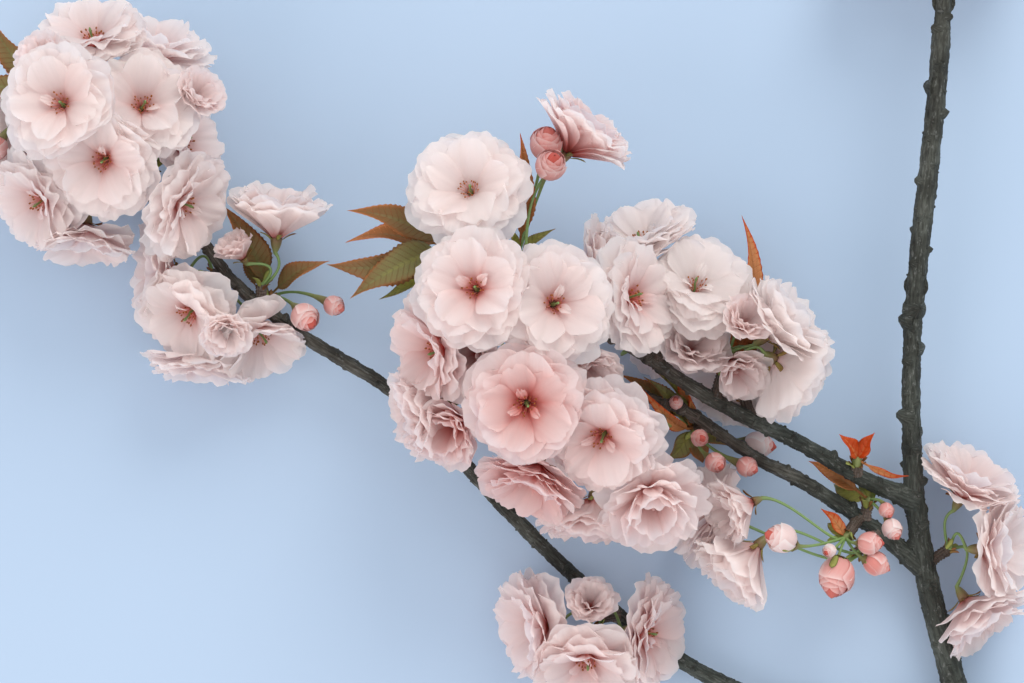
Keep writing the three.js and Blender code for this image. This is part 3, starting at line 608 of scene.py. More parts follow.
# Bark: a tube along each line, raised by rings, lumps and grains, with corky pores set across it. The ring
# spacing and the fibre size are in millimetres of the limb laid out straight.
barkShape = {
    "Sides": 28, "Ring spacing": 2.4, "Ring height": 0.5 / metre, "Lump size": 5.5 / metre,
    "Lump height": 1.3 / metre, "Grain size": 1.4 / metre, "Grain height": 0.6 / metre,
    "Fibre size": (1.3, 1.3, 8.0), "Fibre height": 0.85 / metre, "Pore spacing": 6 / metre,
    "Pore size": (1.2 / metre, 0.5 / metre, 0.45 / metre), "Seed": 7, "Bark": bark,
}


def barkTree():
    tree, given = startTree("barkOnLimb", barkShape)
    position = addNode(tree, "GeometryNodeInputPosition")
    ring = addNode(tree, "GeometryNodeCurvePrimitiveCircle", {"Resolution": given["Sides"], "Radius": 1.0})
    marked = addNode(tree, "GeometryNodeStoreNamedAttribute", {
        "Geometry": ring, "Name": "round", "Value": position}, data_type="FLOAT_VECTOR", domain="POINT")
    bare = tubeOn(tree, given, marked)
    along, relief = (addNode(tree, "GeometryNodeInputNamedAttribute", {"Name": name}, data_type="FLOAT")
                     for name in ("along", "relief"))
    ringSpot, way = (
        addNode(tree, "GeometryNodeInputNamedAttribute", {"Name": name}, data_type="FLOAT_VECTOR")
        for name in ("round", "way"))

    # Where a point lies on the limb laid out straight.
    lengthwise = addNode(tree, "ShaderNodeCombineXYZ", {"Z": along})
    laidOut = addNode(tree, "ShaderNodeVectorMath", {0: ringSpot, 1: (4, 4, 0), 2: lengthwise},
                      operation="MULTIPLY_ADD")
    tube = addNode(tree, "GeometryNodeStoreNamedAttribute", {
        "Geometry": bare, "Name": "spot", "Value": laidOut}, data_type="FLOAT_VECTOR", domain="POINT")

    # The relief: lumps, grains, long fibres, and rings that sway along the limb.
    lumps, grains = (addNode(tree, "ShaderNodeMath", {0: 1.0, 1: given[size]}, operation="DIVIDE")
                     for size in ("Lump size", "Grain size"))
    fibres = addNode(tree, "ShaderNodeVectorMath", {0: laidOut, 1: given["Fibre size"]}, operation="DIVIDE")
    sway = addNode(tree, "ShaderNodeTexNoise", {"Vector": position, "Scale": 160.0, "Detail": 1.0})
    swayed = addNode(tree, "ShaderNodeMath", {0: sway, 1: 4.0, 2: along}, operation="MULTIPLY_ADD")
    rings = addNode(tree, "ShaderNodeMath", {0: swayed, 1: given["Ring spacing"]}, operation="DIVIDE")
    total = 0.0
    for height, space, where in (
            ("Lump height", "3D", {"Vector": position, "Scale": lumps, "Detail": 2.0}),
            ("Grain height", "3D", {"Vector": position, "Scale": grains, "Detail": 3.0}),
            ("Fibre height", "3D", {"Vector": fibres, "Scale": 1.0, "Detail": 2.0}),
            ("Ring height", "1D", {"W": rings, "Scale": 1.0, "Detail": 1.0})):
        noise = addNode(tree, "ShaderNodeTexNoise", where, noise_dimensions=space)
        middle = addNode(tree, "ShaderNodeMath", {0: noise, 1: 0.5}, operation="SUBTRACT")
        terms = {0: middle, 1: given[height], 2: total}
        total = addNode(tree, "ShaderNodeMath", terms, operation="MULTIPLY_ADD")
    scaled = addNode(tree, "ShaderNodeMath", {0: total, 1: relief}, operation="MULTIPLY")
    normal = addNode(tree, "GeometryNodeInputNormal")
    offset = addNode(tree, "ShaderNodeVectorMath", {0: normal, "Scale": scaled}, operation="SCALE")
    raised = addNode(tree, "GeometryNodeSetPosition", {"Geometry": tube, "Offset": offset})

    # A pore is a lens of cork that lies across the limb.
    scatter = addNode(tree, "GeometryNodeDistributePointsOnFaces", {
        "Mesh": raised, "Distance Min": given["Pore spacing"], "Density Max": 120000.0,
        "Seed": given["Seed"]}, distribute_method="POISSON")
    normal = scatter.outputs["Normal"]
    across = addNode(tree, "ShaderNodeVectorMath", {0: normal, 1: way}, operation="CROSS_PRODUCT")
    turned = addNode(tree, "FunctionNodeAxesToRotation", {"Primary Axis": normal, "Secondary Axis": across},
                     primary_axis="Z", secondary_axis="X")
    lens = addNode(tree, "GeometryNodeMeshUVSphere", {"Segments": 8, "Rings": 5, "Radius": 1.0})
    share = addNode(tree, "FunctionNodeRandomValue", {2: 0.5, 3: 1.35, "Seed": given["Seed"]},
                    data_type="FLOAT").outputs[1]
    size = addNode(tree, "ShaderNodeVectorMath", {0: given["Pore size"], "Scale": share}, operation="SCALE")
    pores = addNode(tree, "GeometryNodeInstanceOnPoints", {
        "Points": scatter, "Instance": lens, "Rotation": turned, "Scale": size})
    both = addNode(tree, "GeometryNodeJoinGeometry", {0: [raised, pores]})
    return finishTree(tree, both, {"Material": given["Bark"]})


# A line's radii closed to a round end.
def rounded(radii, points, reach):
    left = np.linalg.norm(points - points[-1], axis=1)
    return radii * np.sqrt(np.clip(1 - np.clip(1 - left / reach, 0, 1) ** 2, 0.02, 1))


def barkLine(points, radii, run, relief, youth):
    ways = np.gradient(points, axis=0)
    return {"points": points, "values": {
        "thick": radii / metre, "along": run, "relief": relief, "youth": youth,
        "way": ways / np.linalg.norm(ways, axis=1, keepdims=True)}}


# A limb flares into a collar where it leaves the stem, and grows younger from a share of its run to its tip.
limbShape = {"step": 0.6, "end": 2.5, "collar": 0.28, "collarReach": 4, "youthSpan": [0.3, 1]}

# A spur is ringed by the scars of old scales, and flares where it leaves the limb.
spurShape = {
    "foot": 3.8, "tip": 4.6, "end": 1.2, "step": 0.3, "scarEvery": 1.3, "scarHeight": 0.09, "flare": 0.5,
    "flareReach": 1.6, "relief": 0.45, "youth": 0.7,
}

# The scars of old leaves and lost spurs stand out in turn round the limb, each a low blunt knob. Its radii
# are shares of its height, from inside the wood to its end.
knobShape = {
    "turn": 2.4, "stray": 0.4, "height": (0.55, 1.35), "apart": (0.6, 1.4), "short": 6, "points": 9,
    "radii": (2.1, 1.5, 0.95, 0.4), "end": 0.5, "relief": 0.8,
}


def spurLine(spur):
    widths = np.linspace(spurShape["foot"], spurShape["tip"], 9)
    points, radii, run = evenly(np.linspace(spur["root"], spur["tip"], 9), widths / 2, spurShape["step"])
    scars = 1 + spurShape["scarHeight"] * np.sin(2 * math.pi * run / spurShape["scarEvery"])
    past = np.maximum(run - 0.6 * spur["reach"], 0)
    radii = radii * scars * (1 + spurShape["flare"] * np.exp(-past / spurShape["flareReach"]))
    radii = rounded(radii, points, spurShape["end"])
    return barkLine(points, radii, run, spurShape["relief"], spurShape["youth"])


def knobLines(limb, points, radii, run, draw):
    lines = []
    reach, rank, stray = limb["knobEvery"], 0, knobShape["stray"]
    while reach < run[-1] - knobShape["short"]:
        index = int(np.searchsorted(run, reach))
        way = unit(points[index] - points[index - 1])
        out = outAt(rank * knobShape["turn"] + draw.uniform(-stray, stray), *sidesOf(way))
        height = limb["knobHeight"] * draw.uniform(*knobShape["height"])
        share = np.linspace(0, 1, knobShape["points"])
        length = radii[index] + height
        line = points[index] + (share * length)[:, None] * out + (share ** 2 * 0.5 * height)[:, None] * way
        stations = [0, radii[index] - 0.6, radii[index] + 0.3 * height, length]
        thick = np.interp(share * length, stations, [wide * height for wide in knobShape["radii"]])
        youth = np.interp(run[index] / run[-1], limbShape["youthSpan"], limb["youth"])
        thick = rounded(thick, line, knobShape["end"])
        lines.append(barkLine(line, thick, share * length, knobShape["relief"], youth))
        reach += limb["knobEvery"] * draw.uniform(*knobShape["apart"])
        rank += 1
    return lines


def growBark():
    tree = barkTree()
    for name, limb in limbs.items():
        points, radii, run = evenly(*limbLines[name], limbShape["step"])
        knobs = knobLines(limb, points, radii, run, random.Random(len(name)))
        if name != "stem":
            reach = limbShape["collarReach"]
            radii = radii * (1 + limbShape["collar"] * np.exp(-np.maximum(run - reach, 0) / reach))
        youth = np.interp(run / run[-1], limbShape["youthSpan"], limb["youth"])
        lines = [barkLine(points, rounded(radii, points, limbShape["end"]), run, 1.0, youth)] + knobs
        lines += [spurLine(spur) for spur in spurPlaces.values() if spur["limb"] == name]
        piece = makeLines(limb["piece"], lines)
        growWith(piece, tree, {**barkShape, "Sides": limb["sides"]})
        handOver(piece, [name])
        print(limb["piece"], len(piece.data.polygons), "faces")


growBark()


# Blooms: another within so many diameters bounds a bloom's space, and its petals keep some room from all
# that lies within reach of its middle.
bloomSize = {
    "diameter": 50, "centreDepth": 9, "middleShare": 0.75, "columns": 19, "rows": 12, "soft": 4, "room": 0.3,
    "neighbour": 1.25, "overTable": 0.4, "reach": 34,
}

# Whorls of petals from the outermost in. Lengths are shares of the diameter, widths of the length, and a
# petal leans out from the axis of the bloom by one angle at its foot and another at its tip.
whorlKeys = ("count", "length", "width", "foot", "tip", "root", "cup", "ruffle")
whorls = [dict(zip(whorlKeys, values)) for values in (
    (6, 0.495, 1.02, 64, 106, 0.4, 0.05, 0.8), (7, 0.485, 0.94, 56, 100, 1.0, 0.07, 0.9),
    (6, 0.47, 0.92, 49, 94, 1.7, 0.09, 1.0), (6, 0.445, 0.88, 42, 88, 2.4, 0.12, 1.1),
    (5, 0.4, 0.82, 34, 82, 3.2, 0.14, 1.2), (3, 0.19, 0.42, 14, 66, 4.0, 0.25, 1.4))]

# How far petals of one whorl differ: in share, in degrees of lean, or in plain amounts.
petalSpread = {
    "length": (0.93, 1.05), "foot": (-4, 4), "tip": (-12, 8), "overlap": (0.6, 4.6), "cup": (0.5, 1.4),
    "width": (0.86, 1.1), "notch": (0.03, 0.11), "notchSpot": (-0.18, 0.18), "teeth": (-0.012, 0.016),
    "wave": (0.6, 1.3), "waveTurns": (0.55, 1.0), "wavePhase": (0, 6.3), "frill": (0.6, 1.4),
    "frillTurns": (0.9, 1.6), "frillPhase": (0, 6.3), "pleat": (0.01, 0.022), "pleatTurns": (1.3, 2.2),
    "twist": (-0.07, 0.07), "sway": (-0.09, 0.09), "shade": (-0.04, 0.04), "seed": (0, 50),
}

# The folds across a petal: how each grows towards the rim, and whose phase it takes.
petalFolds = {"wave": (1.3, "wavePhase"), "frill": (3, "frillPhase"), "pleat": (1, "frillPhase")}

# Small blooms between the large ones, still shut by so many degrees: the last value is the share of the
# full size.
youngShut = 42
youngBlooms = {
    "young_shoot": ["shoot_buds", [738, 508, 46], 200, 25, 0.8],
    "young_face": ["tip_face", [586, 368, 68], 300, 45, 0.75],
    "young_under": ["tip_under", [474, 354, 74], 200, 60, 0.75],
    "young_left": ["tip_under", [452, 426, 70], 225, 48, 0.85],
    "young_mid": ["mid_right", [744, 322, 58], 60, 55, 0.62],
    "young_middle": ["mid_right", [735, 370, 46], 290, 48, 0.75],
    "young_end": ["far_end", [44, 60, 66], 110, 50, 0.6],
    "young_right": ["far_right", [196, 96, 58], 40, 45, 0.6],
    "young_hang": ["hang", [226, 330, 50], 285, 60, 0.6],
    "young_top": ["hang_top", [238, 250, 42], 120, 30, 0.5],
    "young_base": ["base", [590, 604, 42], 80, 55, 0.6],
    "young_behind": ["mid_left", [692, 346, 46], 60, 62, 0.85],
}

# How far some blooms are still from fully open, in degrees, and how red the eye of some is.
stillClosed = {
    "bloom_tip_7": 30, "bloom_tip_8": 30, "bloom_shoot_1": 50, "bloom_hang_5": 34, "bloom_tip_5": 12,
    "bloom_tip_6": 44, "bloom_low_3": 20, "bloom_low_4": 16, "bloom_mid_4": 16, "bloom_mid_1": 10,
    "bloom_side_1": 12, "bloom_side_3": 14, "bloom_low_2": 8,
}
eyeRed = {
    "bloom_tip_1": 0.1, "bloom_tip_2": 0.75, "bloom_tip_3": 0.7, "bloom_tip_4": 0.7, "bloom_tip_7": 1.0,
    "bloom_mid_2": 0.3, "bloom_mid_1": 0.3, "young_left": 0.8,
}

# Some blooms still fold their inner petals over the eye, each whorl by so many degrees more.
foldedIn = {"bloom_low_2": 18, "bloom_base_1": 6, "bloom_far_5": 6, "bloom_mid_4": 5, "bloom_side_2": 5}

# How pink the petals of each cluster are all over.
pinkness = {"tip": 0.02, "low": 0.12, "mid": -0.14, "shoot": 0.04, "side": 0.05, "top": 0.0, "far": 0.0,
            "hang": 0.0, "base": 0.06, "young": 0.05}

# How much rosier some blooms are than the rest of their cluster, and how far up the petals the red reaches.
rosier = {"bloom_tip_4": 0.14, "bloom_low_3": 0.14, "bloom_tip_7": -0.1, "bloom_tip_5": 0.09,
          "bloom_tip_6": 0.06, "young_left": 0.06, "bloom_low_2": -0.03}
redReach = {"bloom_tip_4": 8.5, "bloom_tip_7": 12.0, "bloom_low_3": 8.0, "young_left": 10.0}

# Where a petal would touch something it closes by so many degrees, and keeps a share of its length.
retreats = [(0, 1), (12, 1), (24, 1), (36, 0.95), (46, 0.85), (52, 0.7), (56, 0.55), (0, 0.5), (60, 0.4)]


def bloomPose(name, entry, scale=1.0, shut=0.0):
    spur, eye, bearing, lift = entry[:4]
    turn, rise = math.radians(bearing), math.radians(lift)
    axis = np.array([math.cos(turn) * math.cos(rise), math.sin(turn) * math.cos(rise), math.sin(rise)])
    foot = place(eye) - bloomSize["centreDepth"] * scale * axis
    return {"name": name, "spur": spur, "axis": axis, "sides": sidesOf(axis), "foot": foot, "scale": scale,
            "shut": shut, "cluster": name.split("_")[1] if name in blooms else "young",
            "middle": foot + bloomSize["middleShare"] * bloomSize["centreDepth"] * axis}


poses = {name: bloomPose(name, entry, shut=stillClosed.get(name, 0)) for name, entry in blooms.items()}
youngPoses = {name: bloomPose(name, entry, entry[4], youngShut) for name, entry in youngBlooms.items()}


# The flat sides of a bloom's own space: half way to each neighbour, and the table. A small one has only
# the table.
def boundsOf(pose):
    bounds = []
    for other in poses.values():
        away = other["middle"] - pose["middle"]
        gap = np.linalg.norm(away)
        if 0 < gap < bloomSize["neighbour"] * bloomSize["diameter"] and pose["scale"] == 1:
            bounds.append((away / gap, gap / 2))
    return bounds, (np.array([0.0, 0, -1]), pose["middle"][2] + shift[2] - bloomSize["overTable"])


# Where a petal meets a side of its space it bends up along it. It may reach over a side by its overlap, but
# never into the table.
def keepIn(points, pose, bounds, overlap):
    soft = bloomSize["soft"]
    between, table = bounds
    sides = [(normal, limit + overlap) for normal, limit in between] + [table]
    for turn in range(3):
        for normal, limit in sides:
            past = (points - pose["middle"]) @ normal - limit
            held = np.minimum(past, 0)
            if turn == 0:
                held = np.where(past > -soft, -soft * np.exp(-(np.maximum(past, -soft) + soft) / soft), past)
                points = points + 0.2 * (past - held)[..., None] * pose["axis"]
            points = points + (held - past)[..., None] * normal
    return points


# Shares across and along a petal: closer together near its sides and towards its rim.
petalAcross = np.linspace(-1, 1, bloomSize["columns"])[None, :]
petalAcross = petalAcross * (1.25 - 0.25 * petalAcross ** 2)
petalAlong = (np.linspace(0, 1, bloomSize["rows"]) ** 0.85)[:, None]


def petalShape(whorl, draw):
    shape = {"root": whorl["root"]}
    for key, span in petalSpread.items():
        if key == "teeth":
            shape[key] = np.array([draw.uniform(*span) for _ in range(bloomSize["columns"])])
        else:
            shape[key] = draw.uniform(*span)
    for key in ("foot", "tip"):
        shape[key] += whorl[key]
    for key, amount in (
            ("length", whorl["length"] * bloomSize["diameter"]), ("width", whorl["width"]),
            ("cup", whorl["cup"]), ("wave", 0.04 * whorl["ruffle"]), ("frill", 0.02 * whorl["ruffle"])):
        shape[key] *= amount
    return shape


# A petal bends outwards along an arc from its lean at the foot to its lean at the tip. It is narrow at
# its foot, broad and notched at its tip, cupped across, and ruffled towards its toothed rim.
def petalPoints(pose, bounds, shape, turn, closed, kept):
    length = shape["length"] * kept * pose["scale"]
    foot = math.radians(shape["foot"] - closed / 4 - 0.55 * pose["shut"])
    tip = math.radians(shape["tip"] - closed - pose["shut"])
    bend = (tip - foot) / length
    across, along = petalAcross, petalAlong
    shoulder = 0.38 * (1 - np.sqrt(1 - 0.98 * across ** 2))
    notch = shape["notch"] * np.exp(-((across - shape["notchSpot"]) / 0.16) ** 2)
    run = length * along * (1 - along ** 2 * (shoulder + notch + shape["teeth"][None, :] * along ** 6))
    broad = 0.5 * shape["width"] * length * (0.17 + 0.83 * np.sin(math.pi / 2 * along / 0.79) ** 1.15)
    side = across * broad + shape["sway"] * length * along ** 2
    lift = shape["cup"] * broad * across ** 2 * np.sqrt(along)
    for fold, (power, phase) in petalFolds.items():
        swing = np.sin(2 * math.pi * shape[fold + "Turns"] * across + shape[phase])
        lift = lift + length * shape[fold] * along ** power * swing
    lift = lift + shape["twist"] * length * across * along
    lean = foot + bend * run
    out = 1.6 * pose["scale"] + (math.cos(foot) - np.cos(lean)) / bend - lift * np.cos(lean)
    rise = shape["root"] * pose["scale"] + (np.sin(lean) - math.sin(foot)) / bend + lift * np.sin(lean)
    right, up = pose["sides"]
    radial, tangent = outAt(turn, right, up), outAt(turn, up, -right)
    points = pose["foot"] + out[..., None] * radial + side[..., None] * tangent
    points = points + rise[..., None] * pose["axis"]
    return keepIn(points, pose, bounds, shape["overlap"]), side, run


def petalsOf(pose, draw, others):
    bounds = boundsOf(pose)
    flush = pinkness[pose["cluster"]] + draw.uniform(-0.02, 0.04) + rosier.get(pose["name"], 0)
    red = eyeRed.get(pose["name"], draw.uniform(0.4, 0.85))
    halo = redReach.get(pose["name"], draw.uniform(3.8, 6.2) * pose["scale"])
    grids = []
    for rank, whorl in enumerate(whorls if pose["scale"] == 1 else whorls[1:5]):
        start = draw.uniform(0, 2 * math.pi)
        for index in range(whorl["count"] if rank < 5 else draw.randint(0, 3)):
            turn = start + (index + draw.uniform(-0.16, 0.16)) * 2 * math.pi / whorl["count"]
            shape = petalShape(whorl, draw)
            shape["tip"] -= rank * foldedIn.get(pose["name"], 0)
            for closed, kept in retreats:
                points, side, run = petalPoints(pose, bounds, shape, turn, closed, kept)
                if roomBetween(points[3::2, ::2], others) > bloomSize["room"]:
                    break
            share = run / shape["length"]
            tone = flush + shape["shade"] + 0.02 * rank * red
            tone = tone + red * np.exp(-(run / halo) ** 1.4) + 0.08 * (1 - share) - 0.06 * share ** 3
            spot = np.stack([side, run, np.full_like(side, shape["seed"])], axis=-1)
            grids.append({"points": points, "values": {"tone": np.clip(tone, 0, 1), "spot": spot}})
    return grids


# Stalks and calyxes. Widths are radii along the stalk, and shares of the calyx's along the calyx.
stalkShape = {
    "steps": 25, "ring": 1.7, "sunk": 0.4, "sways": (0, 4, -4, 8, -8, 12, -12, 16, -16), "room": 1.0,
    "reach": 70, "radius": 0.7, "shares": [0, 0.08, 0.5, 0.9, 1], "radii": [0.9, 0.66, 0.55, 0.62, 0.9],
    "tones": (0, 0.6),
}
calyxShape = {
    "length": 6, "diameter": 4.8, "least": 0.7, "shares": [0.15, 0.35, 0.6, 0.85, 1.05],
    "widths": [0.5, 0.72, 0.9, 1, 1.02], "tones": [0.75, 0.85, 0.9, 0.95, 1],
    "sepals": 5, "sepalLength": 6.5, "sepalWidth": 3.0, "sepalRing": 2.5, "sepalFoot": 62, "sepalTip": 112,
}


# The stalks' feet stand in a small ring on the tip of the spur, each on the side of its own bloom.
def standStalks(spur, group):
    right, up = sidesOf(spur["axis"])
    ways = [pose["foot"] - spur["tip"] for pose in group]
    angles = [math.atan2(way @ up, way @ right) for way in ways]
    order = sorted(range(len(group)), key=lambda who: angles[who])
    step = 2 * math.pi / len(group)
    turns = [angles[who] - rank * step for rank, who in enumerate(order)]
    start = math.atan2(sum(math.sin(turn) for turn in turns), sum(math.cos(turn) for turn in turns))
    for rank, who in enumerate(order):
        out = outAt(start + rank * step, right, up)
        group[who]["stalkFoot"] = spur["tip"] + stalkShape["ring"] * out - stalkShape["sunk"] * spur["axis"]
        group[who]["stalkWay"] = spur["axis"]


# A stalk that would touch a neighbour swings to one side, and then to the other.
def stalkCurve(pose, others):
    foot, way = pose["stalkFoot"], pose["stalkWay"]
    neck = pose["foot"] - calyxShape["length"] * pose["scale"] * pose["axis"]
    span = np.linalg.norm(foot - neck)
    shapes = []
    for amount in stalkShape["sways"]:
        for side in pose["sides"]:
            knee = foot + 0.28 * span * way + amount * side
            shapes.append(bezier([
                foot, knee, neck - 0.34 * span * pose["axis"] + amount * side, neck], stalkShape["steps"]))
    return shapes[firstClear([shape[4:] for shape in shapes], others, stalkShape["room"])]


def stalkLine(pose, curve):
    size = max(pose["scale"], calyxShape["least"])
    shares = np.linspace(0, 1, stalkShape["steps"])
    stations = np.array(calyxShape["shares"])[:, None] * calyxShape["length"] * pose["scale"]
    points = np.concatenate([curve, curve[-1] + stations * pose["axis"]])
    radii = np.concatenate([np.interp(shares, stalkShape["shares"], stalkShape["radii"]),
                            np.array(calyxShape["widths"]) * size * calyxShape["diameter"] / 2])
    tones = np.concatenate([np.linspace(*stalkShape["tones"], stalkShape["steps"]), calyxShape["tones"]])
    return {"points": points, "values": {"thick": radii / metre, "tone": tones}}


def sepalsOf(pose, draw):
    size, grids = max(pose["scale"], calyxShape["least"]), []
    for index in range(calyxShape["sepals"]):
        radial = outAt(2 * math.pi * (index + 0.5) / calyxShape["sepals"], *pose["sides"])
        root = pose["foot"] - 0.6 * pose["axis"] + calyxShape["sepalRing"] * size * radial
        grids.append(blade(
            root, pose["axis"], radial, calyxShape["sepalLength"] * size, calyxShape["sepalWidth"] * size,
            calyxShape["sepalFoot"] - pose["shut"] / 2, calyxShape["sepalTip"] - pose["shut"],
            0.5 + draw.uniform(-0.12, 0.12), draw))
    return grids


tubeShape = {"Sides": 10, "Skin": stalkSkin}


def tubeTree():
    tree, given = startTree("tubeOnLine", tubeShape)
    ring = addNode(tree, "GeometryNodeCurvePrimitiveCircle", {"Resolution": given["Sides"], "Radius": 1.0})
    return finishTree(tree, tubeOn(tree, given, ring), {"Material": given["Skin"]})


# A small pointed blade, such as a sepal or a scale: it leans out from an axis and bends as it goes.
bladeShape = {"rows": 7, "columns": 5, "thickness": 0.25, "cup": 0.35}


def blade(root, axis, radial, length, width, foot, tip, tone, draw):
    tangent = np.cross(axis, radial)
    across = np.linspace(-1, 1, bladeShape["columns"])[None, :]
    along = np.linspace(0, 1, bladeShape["rows"])[:, None]
    first, last = math.radians(foot), math.radians(tip)
    bend = (last - first) / length
    lean = first + bend * length * along
    out = (math.cos(first) - np.cos(lean)) / bend
    rise = (np.sin(lean) - math.sin(first)) / bend
    broad = width / 2 * (0.45 + 0.75 * along) * np.sqrt(np.clip(1 - along ** 2.2, 0.0004, 1))
    side = across * broad
    lift = bladeShape["cup"] * broad * across ** 2
    points = root + (out - lift * np.cos(lean))[..., None] * radial + side[..., None] * tangent
    points = points + (rise + lift * np.sin(lean))[..., None] * axis
    seed = np.full_like(side, draw.uniform(0, 50))
    spot = np.stack([side, length * along + 0 * side, seed], axis=-1)
    tones = np.clip(tone + 0.12 * (along - 0.5) + 0 * side, 0, 1)
    return {"points": points, "thickness": bladeShape["thickness"], "values": {"tone": tones, "spot": spot}}


# Sprigs of leaves and buds. A leaf or a stalk that would touch something bows another way.
leafShape = {
    "rows": 48, "columns": 11, "thickness": 0.35, "stalkShare": 0.2, "shortStalk": 0.05, "stalkless": 20,
    "fold": 0.42, "teeth": 0.045, "wave": 0.12, "droop": (0.02, 0.3), "room": 0.6, "reach": 60,
    "rimTone": 0.36, "tipTone": 0.25, "ribTone": -0.12,
}
bows = (0.3, 0.1, 0.6, -0.2, 0.9, -0.5)


def leafGrid(foot, leaf, others, draw):
    tip, width, roll, bronze = place(leaf[0]), *leaf[1:]
    bronze = bronze + draw.uniform(-0.06, 0.06)
    span = tip - foot
    length = np.linalg.norm(span)
    way = span / length
    level = unit(np.cross(way, [0, 0, 1]))
    rolled = level * math.cos(math.radians(roll)) + np.cross(way, level) * math.sin(math.radians(roll))
    over = np.cross(rolled, way)
    along = np.linspace(0, 1, leafShape["rows"])[:, None]
    across = np.linspace(-1, 1, leafShape["columns"])[None, :]
    stalkShare = leafShape["stalkShare" if length > leafShape["stalkless"] else "shortStalk"]
    share = np.clip((along - stalkShare) / (1 - stalkShare), 0, 1)  # along the blade, past the stalk
    outline = 3.73 * share ** 0.7 * (1 - share) ** 1.35
    inOut = np.where(np.arange(leafShape["rows"]) % 2, 1, -1)[:, None]
    teeth = 1 + leafShape["teeth"] * inOut * np.abs(across) ** 6
    broad = np.maximum(width / 2 * outline, 0.5 * (1 - share) + 0.02)
    side = across * broad * teeth
    phase = draw.uniform(0, 6.3)
    wave = leafShape["wave"] * width * np.sin(3.2 * math.pi * along + phase)
    wave = wave * across ** 2 * np.clip(4 * share * (1 - share), 0, 1)
    droop = draw.uniform(*leafShape["droop"])
    shapes = []
    for bow in bows:
        arch = bow * length * along * (1 - along) + leafShape["fold"] * np.abs(side) + wave
        arch = arch - droop * length * np.clip(along - 0.6, 0, 1) ** 2 * 4
        shapes.append(foot + along[..., None] * span + side[..., None] * rolled + arch[..., None] * over)
    ribs = [shape[8:, leafShape["columns"] // 2] for shape in shapes]
    best = firstClear([rib[::2] for rib in ribs], others, leafShape["room"])
    keepClearOf(ribs[best][::3], 0.25 * width)
    seed = np.full_like(side, draw.uniform(0, 50))
    spot = np.stack([side, length * along - 0.8 * np.abs(side), seed], axis=-1)
    tones = bronze + leafShape["rimTone"] * np.abs(across) ** 6 * np.clip(2 * share, 0, 1)
    tones = tones + leafShape["tipTone"] * share ** 3 + leafShape["ribTone"] * (np.abs(across) < 0.1)
    return {"points": shapes[best], "thickness": leafShape["thickness"],
            "values": {"tone": np.clip(tones + 0 * side, 0, 1), "spot": spot}}


# A bud: a small closed core, and petals that wrap over each other. The outer ones are shorter, so the
# coral folds of the inner ones show at the tip, and every petal has a pale loose rim.
budShape = {
    "lengthShare": 1.25, "layers": 4, "petals": 4, "rows": 11, "columns": 10, "turn": 0.8, "wrap": (58, 74),
    "swirl": 0.7, "notch": 0.16, "core": 0.74, "layer": 0.062, "steps": 17, "room": 0.8, "reach": 50,
    "stalkRadius": 0.65, "stalkTones": (0.1, 0.9), "sepals": 5, "sepalLean": (38, 5),
}


def budGrids(centre, way, diameter, coral, draw):
    sides = sidesOf(way)
    length = budShape["lengthShare"] * diameter
    grids = []
    for layer in range(budShape["layers"] + 1):
        core = layer == 0
        for index in range(1 if core else budShape["petals"]):
            end = 0.995 if core else 0.985 - 0.07 * layer + draw.uniform(-0.03, 0.02)
            along = np.linspace(0.01, end, budShape["rows"])[:, None]
            across = np.linspace(-1, 1, (2 if core else 1) * budShape["columns"])[None, :]
            half = math.pi if core else math.radians(draw.uniform(*budShape["wrap"]))
            turn = (index + draw.uniform(-0.12, 0.12)) * 2 * math.pi / budShape["petals"]
            angle = layer * budShape["turn"] + turn + half * across
            spot = along * (1 - (0 if core else budShape["notch"]) * np.abs(across) ** 3)
            wide = budShape["core"] + budShape["layer"] * layer
            radius = diameter / 2 * wide * np.sin(math.pi * spot ** 0.8) ** 0.6
            if not core:
                angle = angle + budShape["swirl"] * along ** 2
                loose = (along / end) ** 8 * (0.2 + 0.35 * np.sin(5 * across + index) ** 2)
                loose = loose + 0.3 * np.abs(across) ** 5
                radius = radius + diameter * 0.05 * loose * (0.4 + 0.2 * layer) + 0.014 * diameter * across
            points = centre + ringsOf(radius, angle, *sides) + (length * (spot - 0.5))[..., None] * way
            pale = np.maximum(np.abs(across) ** 6, (along / end) ** 7) * (0 if core else 1)
            tone = 0.94 - (0.15 - 0.09 * coral) * layer + draw.uniform(-0.05, 0.05) - 0.26 * pale
            side = half * diameter / 2 * across + 0 * along
            seed = np.full_like(side, draw.uniform(0, 50))
            values = {"tone": np.clip(tone + 0 * side, 0, 1),
                      "spot": np.stack([side, length * along + 0 * side, seed], axis=-1)}
            grids.append({"points": points, "values": values})
    return grids


def budStalk(root, centre, diameter, spur, others):
    size = np.linalg.norm(centre - root)
    length = budShape["lengthShare"] * diameter
    share = max(min(0.45, 1 - 0.8 * length / size), 0.15)
    curves = []
    for bow in bows:
        knee = root + share * (centre - root) + bow * size * spur["axis"]
        end = centre - 0.45 * length * unit(centre - knee)
        corners = [root, root + 0.6 * (knee - root), knee + 0.2 * (centre - knee), end]
        curves.append(bezier(corners, budShape["steps"]))
    return curves[firstClear(curves, others, budShape["room"])]


# The short shoot that a sprig's leaves and buds leave from.
sprigFoot = {"sunk": 0.3, "length": 3.3, "radii": (2.3, 2.3, 2.1, 1.9, 1.6, 1.2, 0.4), "tone": 0.75}


